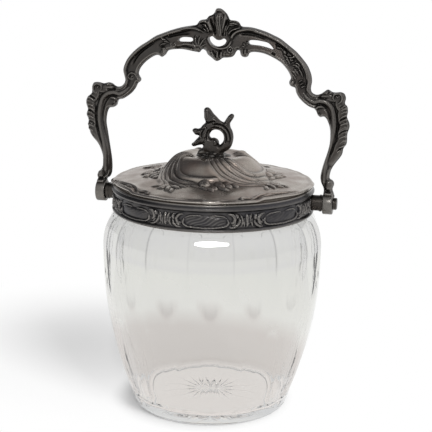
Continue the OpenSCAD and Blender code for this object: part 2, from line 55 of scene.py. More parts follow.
# ---- How finely the pieces are made: steps of each spin, voxels of the castings in mm ----
LID_STEPS, COLLAR_STEPS, GLASS_STEPS, KNOT_STEPS = 480, 768, 480, 192
BAIL_VOXEL, FINIAL_VOXEL = 0.4, 0.26
# half the thickness that a casting has before its relief is made
CAST_HALF = 4.0


# ---- Help with curves and relief ----
def smooth(t):
    t = np.clip(t, 0.0, 1.0)
    return t * t * (3 - 2 * t)


def bump(x, w):
    """One at nought, falling away on both sides over a width."""
    return np.exp(-(x / w) ** 2)


def spline(points, steps, closed=False):
    """A smooth line through the points, with so many steps from each to the next."""
    p = np.array(points, float)
    n = len(p)
    out = []
    for i in range(n if closed else n - 1):
        a, b, c, d = (p[(i - 1) % n], p[i], p[(i + 1) % n], p[(i + 2) % n]) if closed else (
            p[max(i - 1, 0)], p[i], p[i + 1], p[min(i + 2, n - 1)])
        for t in np.arange(steps) / steps:
            out.append(0.5 * (2 * b + (c - a) * t + (2 * a - 5 * b + 4 * c - d) * t * t
                              + (3 * b - a - 3 * c + d) * t ** 3))
    if not closed:
        out.append(p[-1])
    return np.array(out)


def nearest(xy, line, closed=False):
    """Distance from each place to a line, and the share along it where the line is nearest."""
    a = line
    b = np.roll(line, -1, axis=0) if closed else line[1:]
    a = a if closed else a[:-1]
    ab = b - a
    size = np.maximum((ab ** 2).sum(1), 1e-12)
    lengths = np.sqrt(size)
    start = np.concatenate([[0], np.cumsum(lengths)])
    best = np.full(len(xy), 1e9)
    share = np.zeros(len(xy))
    for i in range(len(a)):
        ap = xy - a[i]
        t = np.clip((ap @ ab[i]) / size[i], 0, 1)
        off = ap - t[:, None] * ab[i]
        d = (off ** 2).sum(1)
        better = d < best
        best = np.where(better, d, best)
        share = np.where(better, (start[i] + t * lengths[i]) / start[-1], share)
    return np.sqrt(best), share


def close_to(xy, points, steps, reach):
    """The smooth line through the points, and which places lie within reach of the box round it."""
    line = spline(points, steps)
    return line, ((xy > line.min(0) - reach) & (xy < line.max(0) + reach)).all(1)


def tapered(share, taper, shape):
    """What is left of a line's size at each share of it, when it runs out over a taper at each end."""
    left = np.ones_like(share)
    for way, length in ((share, taper[0]), (1 - share, taper[1])):
        if length > 0:
            left *= shape(way / length)
    return left


def rounded_end(t):
    return np.sqrt(np.clip(t, 0.02, 1))


def stroke(xy, points, width, height, taper=(0.3, 0.3), dip=0.0):
    """Height of a raised line at each place: rounded across, thinner at its ends, dipped along its middle."""
    line, near = close_to(xy, points, 6, width + 0.2)
    out = np.zeros(len(xy))
    if near.any():
        d, share = nearest(xy[near], line)
        wide = tapered(share, taper, rounded_end)
        u = d / (width * wide)
        h = height * wide * np.sqrt(np.clip(1 - u ** 2, 0, 1))
        if dip:
            h -= dip * height * wide * bump(u, 0.28)
        out[near] = np.where(u < 1, h, 0)
    return out


def groove(xy, points, width, depth, taper=(0.25, 0.25)):
    """Depth of a cut line at each place, running out at both ends."""
    line, near = close_to(xy, points, 5, width * 2.5)
    out = np.zeros(len(xy))
    if near.any():
        d, share = nearest(xy[near], line)
        out[near] = depth * tapered(share, taper, smooth) * bump(d, width)
    return out


def highest(xy, lines, draw=stroke, turns=1):
    """The highest of all lines at each place, repeated round the axis."""
    total = np.zeros(len(xy))
    for k in range(turns):
        c, s = math.cos(2 * math.pi / turns * k), math.sin(2 * math.pi / turns * k)
        turned = np.stack([xy[:, 0] * c + xy[:, 1] * s, -xy[:, 0] * s + xy[:, 1] * c], 1)
        for line in lines:
            total = np.maximum(total, draw(turned, *line))
    return total


def around(co):
    """Distance of each point from the jar's axis, and its angle round it in degrees."""
    return np.hypot(co[:, 0], co[:, 1]), np.degrees(np.arctan2(co[:, 1], co[:, 0]))


def wrapped(a, period=90.0):
    """The angle brought to within half a period of nought."""
    return (a + period / 2) % period - period / 2


# ---- Help with pieces ----
def only(piece):
    bpy.ops.object.select_all(action="DESELECT")
    piece.select_set(True)
    bpy.context.view_layer.objects.active = piece


def spun(name, line, steps, closed=True):
    """A profile of (radius, height) spun once round the jar's axis."""
    n = len(line)
    mesh = bpy.data.meshes.new(name)
    mesh.from_pydata([(r * MM, 0, z * MM) for r, z in line],
                     [(i, (i + 1) % n) for i in range(n if closed else n - 1)], [])
    piece = bpy.data.objects.new(name, mesh)
    scene.collection.objects.link(piece)
    only(piece)
    bpy.ops.object.mode_set(mode="EDIT")
    bpy.ops.mesh.select_all(action="SELECT")
    bpy.ops.mesh.spin(steps=steps, angle=2 * math.pi, center=(0, 0, 0), axis=(0, 0, 1))
    bpy.ops.mesh.select_all(action="SELECT")
    bpy.ops.mesh.remove_doubles(threshold=2e-6)
    bpy.ops.mesh.normals_make_consistent(inside=False)
    bpy.ops.object.mode_set(mode="OBJECT")
    return piece


def coords_of(piece):
    co = np.empty(len(piece.data.vertices) * 3)
    piece.data.vertices.foreach_get("co", co)
    return co.reshape(-1, 3) / MM


def set_coords(piece, co):
    piece.data.vertices.foreach_set("co", (co * MM).ravel())
    piece.data.update()


def apply_modifier(piece, kind, **settings):
    only(piece)
    m = piece.modifiers.new(kind, kind)
    for key, value in settings.items():
        setattr(m, key, value)
    bpy.ops.object.modifier_apply(modifier=m.name)


# rounds of blurring that fine and broad relief are told by, and how much each counts
FINE_ROUNDS, BROAD_ROUNDS = 2, 14
FINE_SHARE, BROAD_SHARE = 9, 2.4


def wear(piece, gain):
    """Keeps how far each point stands out of its surroundings, for worn edges and dark hollows."""
    mesh = piece.data
    n = len(mesh.vertices)
    co = coords_of(piece)
    no = np.empty(n * 3)
    mesh.vertices.foreach_get("normal", no)
    no = no.reshape(-1, 3)
    e = np.empty(len(mesh.edges) * 2, np.int64)
    mesh.edges.foreach_get("vertices", e)
    e = e.reshape(-1, 2)
    count = np.bincount(e.ravel(), minlength=n)[:, None].astype(float)
    count[count == 0] = 1

    def mean(v):
        total = np.stack([np.bincount(e[:, 0], v[e[:, 1], k], n) + np.bincount(e[:, 1], v[e[:, 0], k], n)
                          for k in range(v.shape[1])], 1)
        return total / count

    blurred = co
    for i in range(BROAD_ROUNDS):
        blurred = 0.5 * blurred + 0.5 * mean(blurred)
        if i + 1 == FINE_ROUNDS:
            fine = ((co - blurred) * no).sum(1)
    coarse = ((co - blurred) * no).sum(1)
    value = np.tanh(gain * (fine * FINE_SHARE + coarse * BROAD_SHARE)) * 0.5 + 0.5
    attribute = mesh.attributes.new("wear", "FLOAT", "POINT")
    attribute.data.foreach_set("value", value)


def joined(piece, other):
    """The other object becomes a part of the piece."""
    only(other)
    piece.select_set(True)
    bpy.context.view_layer.objects.active = piece
    bpy.ops.object.join()


def smooth_shaded(piece, angle=None):
    only(piece)
    if angle is None:
        bpy.ops.object.shade_smooth()
    else:
        bpy.ops.object.shade_smooth_by_angle(angle=math.radians(angle))


# ---- Finishes ----
def put(tree, n, **values):
    """Sets or links a node's input sockets: Base_Color is the one named "Base Color"."""
    for key, value in values.items():
        socket = n.inputs[key.replace("_", " ")]
        if isinstance(value, bpy.types.NodeSocket):
            tree.links.new(value, socket)
        else:
            socket.default_value = value


def node(tree, kind, settings=(), **values):
    """A new node with its settings, and its input sockets set or linked."""
    n = tree.nodes.new(kind)
    for key, value in dict(settings).items():
        setattr(n, key, value)
    put(tree, n, **values)
    return n


def object_place(tree):
    return node(tree, "ShaderNodeTexCoord").outputs["Object"]


def noise(tree, scale, detail, roughness=0.5):
    """Smooth noise that is fixed to the object."""
    n = node(tree, "ShaderNodeTexNoise", Vector=object_place(tree), Scale=scale, Detail=detail,
             Roughness=roughness)
    return n.outputs[0]


def bumped(tree, height, strength, distance):
    n = node(tree, "ShaderNodeBump", Height=height, Strength=strength, Distance=distance)
    return n.outputs[0]


def kept_value(tree, name):
    """What a piece's own attribute holds."""
    return node(tree, "ShaderNodeAttribute", {"attribute_name": name}).outputs["Fac"]


def ramp(tree, source, *stops):
    """Colours or greys along a value."""
    n = node(tree, "ShaderNodeValToRGB", Fac=source)
    while len(n.color_ramp.elements) < len(stops):
        n.color_ramp.elements.new(0.5)
    for element, (at, colour) in zip(n.color_ramp.elements, stops):
        element.position = at
        element.color = (*colour, 1) if isinstance(colour, tuple) else (colour, colour, colour, 1)
    return n.outputs[0]


def mix(tree, a, b, factor, kind="MIX"):
    n = node(tree, "ShaderNodeMix", {"data_type": "RGBA", "blend_type": kind})
    for socket, value in ((n.inputs[0], factor), (n.inputs[6], a), (n.inputs[7], b)):
        if isinstance(value, bpy.types.NodeSocket):
            tree.links.new(value, socket)
        else:
            socket.default_value = value if isinstance(value, float) else (*value, 1)
    return n.outputs[2]


def fresh(name):
    m = bpy.data.materials.new(name)
    m.use_nodes = True
    tree = m.node_tree
    return m, tree, tree.nodes["Principled BSDF"]


# how many clouds of stain and how many specks of grain go to a metre, and how strongly the specks show
CLOUDS, SPECKS, SPECK_SHARE = 55.0, 620.0, 0.6


def plated(name, ground, stain, rough, hollow=None, edge=None):
    """Old plated metal with brown and blue stains and fine handling marks. A piece that keeps its wear
    also has dark hollows and bright worn edges."""
    m, tree, shader = fresh(name)
    clouds = noise(tree, CLOUDS, 5.0, 0.62)
    specks = noise(tree, SPECKS, 4.0, 0.7)
    body = mix(tree, ground, stain, ramp(tree, clouds, (0.42, 0), (0.66, 1)))
    if hollow:
        height = kept_value(tree, "wear")
        body = mix(tree, body, hollow, ramp(tree, height, (0.1, 1), (0.48, 0)))
        body = mix(tree, body, edge, ramp(tree, height, (0.55, 0), (0.95, 1)))
    grain = ramp(tree, specks, (0.3, 0.72), (0.7, (1.12, 1.1, 1.08)))
    body = mix(tree, body, grain, SPECK_SHARE, "MULTIPLY")
    put(tree, shader, Base_Color=body, Metallic=1.0, Normal=bumped(tree, specks, 0.05, 0.0003),
        Roughness=ramp(tree, clouds, (0.3, rough[0]), (0.75, rough[1])))
    return m


cast_metal = plated("oxidised_cast_plate", (0.068, 0.064, 0.0605), (0.07, 0.06, 0.054), (0.27, 0.43),
                    hollow=(0.021, 0.02, 0.019), edge=(0.185, 0.175, 0.162))
lid_metal = plated("tarnished_lid_plate", (0.39, 0.35, 0.31), (0.3, 0.235, 0.2), (0.22, 0.38),
                   hollow=(0.07, 0.064, 0.058), edge=(0.43, 0.4, 0.365))
collar_metal = plated("oxidised_collar_plate", (0.08, 0.076, 0.075), (0.052, 0.051, 0.057), (0.24, 0.38),
                      hollow=(0.014, 0.014, 0.015), edge=(0.235, 0.222, 0.208))
turned_metal = plated("turned_pivot_metal", (0.065, 0.06, 0.054), (0.05, 0.042, 0.038), (0.26, 0.4))
bezel_metal = plated("bezel_plate", (0.3, 0.28, 0.25), (0.2, 0.17, 0.15), (0.3, 0.5))
brass = plated("brass_fixings", (0.42, 0.30, 0.13), (0.22, 0.15, 0.07), (0.3, 0.5))

# clear glass with faint cords in it; painted shade greys it at the flutes' lower ends and on the
# arrises, where the cuts refract darkly, and the same places are rougher
glass, glass_tree, glass_shader = fresh("clear_cut_glass")
# the kept value "ground" holds the painted shade of the cuts, and also their roughness
cut_shade_and_roughness = kept_value(glass_tree, "ground")
put(glass_tree, glass_shader, IOR=1.5, Transmission_Weight=1.0,
    Base_Color=mix(glass_tree, (0.975, 0.98, 0.975), (0.45, 0.45, 0.46), cut_shade_and_roughness),
    Roughness=ramp(glass_tree, cut_shade_and_roughness, (0.0, 0), (1.0, 0.12)),
    Normal=bumped(glass_tree, noise(glass_tree, 38.0, 2.0), 0.06, 0.0006))

plaster, plaster_tree, plaster_shader = fresh("old_plaster")
put(plaster_tree, plaster_shader, Roughness=0.9,
    Base_Color=ramp(plaster_tree, noise(plaster_tree, 300.0, 5.0), (0.3, (0.42, 0.39, 0.34)),
                    (0.7, (0.6, 0.57, 0.5))))


def finish(piece, material, body, stands_for):
    piece.data.materials.clear()
    piece.data.materials.append(material)
    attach(piece, body)
    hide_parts(stands_for)


# ---- Lid ----
def plate_z(r):
    return EDGE_Z + PLATE_RISE * (1 - np.clip((r - HUB_R) / (LID_R - HUB_R), 0, 1) ** 1.5)


def lid_mean(r):
    return plate_z(r) + DOME_RISE * smooth((DOME_R - r) / (DOME_R - CROWN_R))


# the relief of the dome and the plate: one quarter of the lid, repeated
QUARTERS = 4
RELIEF_FROM_R, UNEVEN_FROM_R = 9.5, 24.0
# the lobes: the direction of their middle in degrees, their height, the radius of the middle and the width,
# and the share that is left where the bundle of ridges, so wide to each side, crosses them
LOBE_AT, LOBE_H, LOBE_MID_R, LOBE_W = -110.0, 3.0, 0.62 * DOME_R, 0.18 * DOME_R
LOBE_LEAST, BUNDLE_HALF = 0.45, 4
# the ridges turn by so many degrees on their way from one radius to the other
RIDGE_TURN, RIDGE_FROM_R, RIDGE_END_R = -52, 1.06 * CROWN_R, 1.1 * DOME_R
# the underside follows this share of the lobes
UNDER_SWELL = 0.6
# the lip, in degrees: the middle between its two arches, its tip and its two blunt points; where an arch
# begins and ends to each side of that middle; and the half widths of the tip and the two points
RIM_AT, TIP_AT, CORNER_LEFT, CORNER_RIGHT = -91.0, -79.0, -164.0, 6.0
ARCH_FROM, ARCH_TO, TIP_HALF, LEFT_HALF, RIGHT_HALF = 37, 78, 6, 9, 7
# what they add to the lip in mm, and the radii from which they show
ARCH_RISE, ARCH_UNDER, ARCH_INWARD, TIP_REACH, CORNER_REACH = 1.4, 1.0, 0.3, 1.4, 1.5
LIP_FROM_R, UNDER_LIP_FROM_R, OUTWARD_FROM_R = 52.0, 60.6, 56.0
# the bead and the dip that run round beside the edge: height, distance from the edge, width
BEAD_H, BEAD_IN, BEAD_W = 0.25, 1.1, 0.8
DIP_H, DIP_IN, DIP_W = 0.2, 3.2, 1.4


def ridge_at(r):
    """Angle of the bundle of ridges at a radius, from the middle of the lobe beside it."""
    return RIDGE_TURN * (1 - np.clip((r - RIDGE_FROM_R) / (RIDGE_END_R - RIDGE_FROM_R), 0, 1) ** 1.6)


def polar(deg, r):
    a = math.radians(deg)
    return (r * math.cos(a), r * math.sin(a))


# Ridges of one quarter, side by side: the first turns in under the lobe, the others run out into leaves,
# and the last three fill the gaps between them. They are (points, width, height, taper) and stand up
# with the soft profile that groove gives.
LID_RIDGES = [
    ([(-8.5, -8.6), (-14, -10.8), (-17.6, -16), (-17.8, -22), (-15.4, -27.2), (-10.8, -30.6), (-5, -32.4),
      (1, -32.8), (7, -31.6), (11, -29.4)], 1.15, 1.5, (0.12, 0.1)),
    ([(-9, -7), (-16, -8.2), (-20.6, -13.4), (-21.4, -20.6), (-19.4, -27.4), (-14.6, -32.2), (-8.4, -34.6),
      (-2, -35.2)], 1.3, 1.6, (0.1, 0.2)),
    ([(-9.6, -5), (-18.4, -5.8), (-23.8, -11.6), (-24.8, -19.8), (-22.8, -27.4), (-18.8, -33.4), (-13, -37),
      (-7.4, -38)], 1.2, 1.4, (0.1, 0.2)),
    ([(-10.4, -3), (-20, -3.4), (-26.6, -10), (-27.6, -19.4), (-25.4, -28), (-21.6, -34.4), (-19.8, -40),
      (-20.4, -46)], 1.25, 1.4, (0.1, 0.25)),
    ([(-11, -1), (-21.4, -1), (-28.6, -8.2), (-30, -17.6), (-28.2, -26.4), (-25, -32.6), (-24.4, -38),
      (-27.4, -42.4)], 1.2, 1.2, (0.1, 0.25)),
    ([(-21, -7.2), (-25.4, -13.4), (-26, -20.6), (-23.6, -28)], 0.5, 1.25, (0.4, 0.4)),
    ([(-18.6, -9.8), (-22.4, -15.8), (-22.8, -23), (-19.8, -30)], 0.5, 1.3, (0.4, 0.4)),
    ([(-15.4, -10.6), (-19.2, -15.4), (-19.6, -21.4), (-17.2, -27.6)], 0.5, 1.2, (0.4, 0.4))]


def lid_strokes():
    """Shell and leaves of one quarter, as (points, width, height, taper, dip)."""
    out = []
    # the front spray: a shell and rounded leaves, one behind the other
    for pts, w, h in (
            ([(-1.5, -34.4), (1.4, -35.4), (5.4, -35.8)], 2.6, 1.7),
            ([(-7, -37), (-3.4, -38.4), (0.2, -39.2)], 1.3, 1.0),
            ([(-0.6, -38.4), (2.6, -40.8), (6, -43.8)], 1.7, 1.3),
            ([(3.4, -38.8), (6.4, -41.4), (9.4, -45.2)], 1.8, 1.3),
            ([(6, -37.6), (8.8, -39.6), (10.6, -42.8)], 1.9, 1.35),
            ([(8, -33.6), (11.4, -35), (14.6, -38)], 2.5, 1.6),
            ([(10.8, -37.4), (14, -39.4), (18.4, -40.8)], 1.8, 1.2),
            ([(12.4, -32.4), (15.6, -33.4), (18.6, -36.6)], 2.3, 1.5),
            ([(17, -31), (20, -31.6), (22.4, -34)], 1.9, 1.2),
            ([(10, -30.6), (13, -29.6), (16.6, -30)], 1.3, 1.1)):
        out.append((pts, w, h, (0.35, 0.3), 0.25))
    # the spray at the end of the ridges, and a small curl between the two
    for pts, w, h in (
            ([(-21, -37), (-22.2, -41), (-25.4, -44)], 1.7, 1.2),
            ([(-18.6, -38), (-18.6, -43), (-18.8, -48.6)], 1.5, 1.2),
            ([(-17, -38), (-14.6, -41.6), (-10.8, -43.4)], 1.6, 1.2),
            ([(-24, -37.6), (-27.6, -39), (-30.4, -38.6)], 1.3, 0.9),
            ([(-16.4, -43), (-15.6, -47), (-16, -51)], 1.3, 1.0),
            ([(-13, -38.6), (-10, -40.2), (-7.4, -40.2)], 1.1, 0.8)):
        out.append((pts, w, h, (0.3, 0.3), 0.25))
    return out


def rim_strokes():
    """Raised lines on the lip, as (points, width, height, taper)."""
    out = []

    def add(w, h, taper, at, *pairs):
        out.append(([polar(at + a, r) for a, r in pairs], w, h, taper))

    for s in (1, -1):
        # the scroll that leaves the lip at the steep end of an arch and runs back to it behind
        add(1.0, 1.3, (0.25, 0.3), RIM_AT, (34 * s, 61.4), (37 * s, 59.2), (42 * s, 57.6), (48 * s, 57.4),
            (54 * s, 58.6), (62 * s, 60), (72 * s, 60.8))
        add(0.8, 0.9, (0.4, 0.4), RIM_AT, (42 * s, 60), (46 * s, 59.4), (51 * s, 60.2))
        add(0.9, 1.2, (0.3, 0.2), RIM_AT, (36 * s, 60.4), (33 * s, 58.2), (29.6 * s, 58), (29 * s, 59.6),
            (30.6 * s, 60.4))
        add(0.9, 0.8, (0.2, 0.5), TIP_AT, (3 * s, 60.6), (8 * s, 59.8), (13 * s, 60.6), (17 * s, 61.4))
    # the small ribs of the tip
    for a in (-4.4, -2.2, 0, 2.2, 4.4):
        add(1.15, 0.8, (0.5, 0.1), TIP_AT, (a * 0.35, 59.4), (a, 64.2))
    return out


def arch_lift(a):
    """Share of the lip's two arches at an angle: steep at the front end, slow behind."""
    off = np.abs(wrapped(a - RIM_AT, 360))
    return smooth((off - ARCH_FROM) / 5) * smooth((ARCH_TO - off) / 30)


def tip_lift(a):
    """Share of the lip's tip at an angle."""
    return smooth((TIP_HALF - np.abs(wrapped(a - TIP_AT, 360))) / 4)


def corner(a):
    """Share of the lip's blunt points at an angle: a whole one on the left and half of one on the right."""
    left, right = (np.abs(wrapped(a - at, 360)) for at in (CORNER_LEFT, CORNER_RIGHT))
    return smooth((LEFT_HALF - left) / 7) + 0.5 * smooth((RIGHT_HALF - right) / 5)


def lid_surface(co):
    """Turns the plain spun lid into the embossed one."""
    r, a = around(co)
    xy = co[:, :2]
    # the lobes swell beside the bundle of ridges
    off = np.abs(np.radians(wrapped(a - LOBE_AT - ridge_at(r))) * r)
    swell = LOBE_H * bump(r - LOBE_MID_R, LOBE_W) \
        * (LOBE_LEAST + (1 - LOBE_LEAST) * smooth((off - BUNDLE_HALF) / 7))
    swell *= smooth((r - HUB_R) / 6)
    relief = np.maximum(highest(xy, LID_RIDGES, groove, QUARTERS), highest(xy, lid_strokes(), turns=QUARTERS))
    relief *= smooth((r - RELIEF_FROM_R) / 3)
    # the plate is a little uneven, as old stamped metal is
    uneven = 0.16 * np.sin(xy[:, 0] * 0.16 + 1.1) * np.sin(xy[:, 1] * 0.19 + 0.4) \
        + 0.09 * np.sin(xy[:, 0] * 0.37 - xy[:, 1] * 0.28)
    # a low bead runs round the edge with a dip inside it
    bead = BEAD_H * bump(r - (LID_R - BEAD_IN), BEAD_W) - DIP_H * bump(r - (LID_R - DIP_IN), DIP_W)
    arch = arch_lift(a)
    lift = ARCH_RISE * arch * smooth((r - LIP_FROM_R) / 9)
    z_top = (swell + relief + uneven * smooth((r - UNEVEN_FROM_R) / 12) + highest(xy, rim_strokes())
             + bead + lift)
    z_under = UNDER_SWELL * swell + ARCH_UNDER * arch * smooth((r - UNDER_LIP_FROM_R) / 1.2)
    out = co.copy()
    out[:, 2] += np.where(co[:, 2] > lid_mean(r) - 0.5, z_top, z_under)
    outward = TIP_REACH * tip_lift(a) - ARCH_INWARD * arch + CORNER_REACH * corner(a)
    out[:, :2] *= (1 + outward / LID_R * smooth((r - OUTWARD_FROM_R) / 7))[:, None]
    return out


def make_lid():
    def mean(r):
        return float(lid_mean(np.array(r)))

    top = [(r, mean(r)) for r in np.concatenate([[0.0, 2.5], np.arange(4.5, LID_R - 0.9, 0.43)])]
    rim = [(LID_R - 0.5, EDGE_Z - 0.1), (LID_R, EDGE_Z - 0.45), (LID_R, EDGE_Z - 0.8),
           (LID_R - 0.9, EDGE_Z - 1.05), (LID_R - 1.0, SEAT_Z + 0.2), (LID_R - 2.1, SEAT_Z + 0.2)]
    # the underside, a little thicker under the dome
    under = [(r, mean(r) - LID_T - 0.6 * float(smooth((DOME_R - r) / 8)))
             for r in (61.0, 58.0, 54, 50, 46, 42, 38, 35, 32, 29, 26, 23, 20, 17, 14, 11, 8, 4)]
    piece = spun("embossed_lid", top + rim + under + [(0.0, HUB_Z - 2)], LID_STEPS, closed=False)
    set_coords(piece, lid_surface(coords_of(piece)))
    wear(piece, 0.7)
    smooth_shaded(piece)
    finish(piece, lid_metal, "lid", "lid_shell")


# ---- Collar ----
# The frieze has eight cartouches. Its relief lies between two heights over the collar's foot and stays
# clear of the bosses that carry the bail.
CARTOUCHES = 8
COLLAR_TURN, EACH_TURN = -82.0, 360 / CARTOUCHES
PITCH = 2 * math.pi * COLLAR_R / CARTOUCHES
FRIEZE_LOW, FRIEZE_HIGH, BOSS_CLEAR = 2.0, 12.2, 5.7
CARTOUCHE_HALF_W, CARTOUCHE_MID, CARTOUCHE_HALF_H = 12.5, 6.7, 3.1
# how high the cartouches' ground is domed and hatched, and how uneven the ornament round them is
DOMED, HATCHED, UNEVEN, ORNAMENT_LEAST = 0.75, 0.12, 0.16, 0.2
COLLAR_ROWS = 62


def collar_strokes():
    """One cartouche and the scrolls beside it, in mm along the band and up it."""
    out = []

    def add(w, h, *lines, taper=(0.3, 0.3), dip=0.0):
        for line in lines:
            out.append((line, w, h, taper, dip))

    # the frame, heavy below and broken by leaves above
    add(0.65, 1.2, [(-12.6, 8.4), (-13.4, 6), (-11.6, 3.9), (-6, 3.2), (0, 3.0), (6, 3.2), (11.4, 3.9),
                    (13.4, 5.8), (12.8, 8.2)], taper=(0.06, 0.06))
    add(0.5, 0.9, [(-12.6, 8.4), (-9.4, 10), (-4, 10.3), (-1, 9.7)],
        [(2, 9.8), (5.6, 10.4), (10, 10), (12.8, 8.4)])
    # scrolls and leaves on its left, then on its right
    add(0.9, 1.5, [(-13, 10.8), (-15.6, 10.4), (-17.4, 8.2), (-16.6, 5.9), (-14.9, 5.6), (-14.4, 7.2)],
        dip=0.2)
    add(0.8, 1.4, [(-14, 2.9), (-17, 3.3), (-19.2, 5), (-20, 7.4)], [(-18.4, 11), (-19.6, 9.2), (-19, 7)],
        dip=0.2)
    add(0.55, 1.3, [(-20.6, 3), (-21.8, 5.6), (-21.2, 8.6)], [(-22, 11.2), (-22.6, 8.8), (-22.2, 6)],
        [(-14.6, 4.2), (-16.4, 4.6), (-17.8, 6)])
    add(0.95, 1.5, [(12.6, 10.9), (14.8, 11.2), (16.8, 9.8), (17.2, 7.4), (15.8, 5.9), (14.4, 6.8)], dip=0.2)
    add(0.8, 1.4, [(13.6, 3), (16.2, 3.2), (18.8, 4.6), (20.2, 7), (19.6, 9.4)],
        [(16.8, 11), (18.6, 10.2), (18.9, 8.2)], dip=0.2)
    add(0.55, 1.3, [(21, 3.4), (21.9, 6), (21.6, 8.8), (20.4, 11)], [(15.4, 4.4), (17, 5), (18, 6.6)])
    # the upright leaf between two cartouches, both halves
    for s in (24.65, -24.65):
        add(1.0, 1.6, [(s, 2.9), (s + 0.3, 6.5), (s - 0.2, 11.2)], dip=0.3)
        add(0.55, 1.2, [(s - 1.5, 3.4), (s - 1.8, 6), (s - 1.2, 9)],
            [(s + 1.4, 4.4), (s + 1.9, 7), (s + 1.3, 10.4)])
    return out


def collar_profile(z):
    """How far the mouldings stand out of the frieze at a height above the collar's foot."""
    h = z / COLLAR_H
    at = [0, 0.03, 0.07, 0.11, 0.145, 0.17, 0.72, 0.745, 0.77, 0.81, 0.855, 0.9, 0.93, 0.97, 1]
    out = [0.3, 1.0, 1.25, 0.9, 0.15, 0, 0, 0.15, 0.8, 1.4, 1.45, 0.95, 0.45, 0.35, 0.1]
    return np.interp(h, at, out)


def make_collar():
    in_r = COLLAR_R - COLLAR_T
    line = [(COLLAR_R + float(collar_profile(z)), COLLAR_Z + z)
            for z in np.linspace(0, COLLAR_H, COLLAR_ROWS)]
    line += [(MOUTH_R, SEAT_Z), (MOUTH_R, SEAT_Z - 1.2), (in_r, SEAT_Z - 1.2), (in_r, COLLAR_Z + 1.2),
             (in_r + 0.5, COLLAR_Z + 0.1)]
    piece = spun("embossed_collar", line, COLLAR_STEPS)
    co = coords_of(piece)
    r, a = around(co)
    along = wrapped(a - COLLAR_TURN, EACH_TURN) / EACH_TURN * PITCH
    up = co[:, 2] - COLLAR_Z
    lift = highest(np.stack([along, up], 1), collar_strokes())
    lift *= smooth((up - FRIEZE_LOW) / 0.6) * smooth((FRIEZE_HIGH - up) / 0.6)
    from_boss = np.hypot(np.abs(wrapped(a, 180.0)) * math.pi / 180 * COLLAR_R, co[:, 2] - PIVOT_Z)
    clear = smooth((from_boss - BOSS_CLEAR) / 1.2)
    lift *= clear
    # a little uneven all round, as old punched work is
    round_way = np.radians(a) * COLLAR_R
    uneven = np.sin(2.0 * round_way + 1.6 * np.sin(1.3 * up)) * np.sin(2.4 * up + 0.9 * round_way)
    lift = np.where(lift > ORNAMENT_LEAST, np.maximum(lift + UNEVEN * uneven * clear, ORNAMENT_LEAST), lift)
    # the cartouches' ground is gently domed and hatched, most of all the one at the front
    dome = np.clip(1 - (along / CARTOUCHE_HALF_W) ** 2, 0, 1)
    dome = dome * np.clip(1 - ((up - CARTOUCHE_MID) / CARTOUCHE_HALF_H) ** 2, 0, 1)
    hatched = np.sin(1.5 * round_way - 3.1 * up + 1.4 * np.sin(0.4 * round_way + 0.5 * up))
    front = 0.3 + 0.7 * (np.abs(wrapped(a - COLLAR_TURN, 360)) < EACH_TURN / 2)
    ground = DOMED * np.sqrt(dome) + HATCHED * hatched * front * smooth(dome / 0.3)
    lift = np.maximum(lift, ground * clear)
    lift = np.where(r > COLLAR_R - 0.4, lift, 0)
    co[:, :2] *= ((r + lift) / r)[:, None]
    set_coords(piece, co)
    wear(piece, 0.7)
    smooth_shaded(piece)
    finish(piece, collar_metal, "jar", "collar_band")


# ---- Bail ----
BAIL_OUTER = [
    (77.2, 5.2), (76.3, 7.4), (75.8, 9.6), (76.7, 12.3), (75.8, 14.5), (73.8, 15.7), (73.7, 18.1),
    (74.7, 21.9), (76.9, 25.6), (79.7, 29.4), (80.9, 31.9), (81.4, 35), (83.0, 37.4), (83.4, 40),
    (83.4, 44.2), (84.5, 48), (84.2, 51), (82.7, 54.4), (83.1, 57.5), (82.6, 60.8), (81.0, 62.6),
    (81.5, 65.6), (80.6, 68.4), (78.2, 69.5), (73.7, 69.2), (70.4, 70.8), (68, 69.4), (65.9, 67.9),
    (63.3, 67.3), (60.9, 68.2), (59.8, 70), (59.8, 72.5), (60.2, 75), (59.9, 78), (59.0, 81), (57.0, 85),
    (54, 88.7), (50, 92.9), (45.6, 96.3), (40, 100.4), (35, 102.8), (30, 104.8), (23.6, 106.6),
    (19.7, 107.2), (15.3, 107.4), (14, 108.9), (12.8, 110.2), (10.6, 110.9), (7.9, 111.1), (6.9, 112.4),
    (5.7, 114.6), (4, 116.4), (2, 117.8), (0, 118.1), (-1.4, 117.5), (-2.2, 115.4), (-3.6, 114),
    (-5.9, 113), (-7.2, 111.3), (-9.3, 110.9), (-11.3, 110.3), (-12.5, 108.8), (-13.6, 107.5),
    (-17.3, 106.9), (-23, 105.8), (-29.8, 103.8), (-35.5, 101.6), (-40, 99.7), (-45, 96.3), (-50, 93.1),
    (-54.6, 89), (-58, 84.8), (-59.9, 80.6), (-60.4, 77.5), (-59.7, 74.6), (-59, 71.6), (-59.8, 69.3),
    (-61.5, 67.7), (-64, 67.2), (-66, 68.1), (-67.8, 69.2), (-70.2, 69.7), (-73, 68.9), (-76.5, 69.6),
    (-79.6, 69.2), (-80.9, 67), (-81, 63.8), (-81.4, 62), (-83.4, 60.4), (-84.7, 58.1), (-84.7, 55.3),
    (-83.6, 52.2), (-84.5, 48.8), (-83.1, 45.5), (-83.4, 42.5), (-82.9, 40), (-81.8, 37.4), (-80.2, 34.4),
    (-77.4, 31.4), (-75.6, 28.8), (-74, 25), (-73.2, 21.9), (-73.1, 17.5), (-73.6, 14), (-75.8, 12.3),
    (-76.8, 10), (-76.3, 7.6), (-77.2, 4.6)]
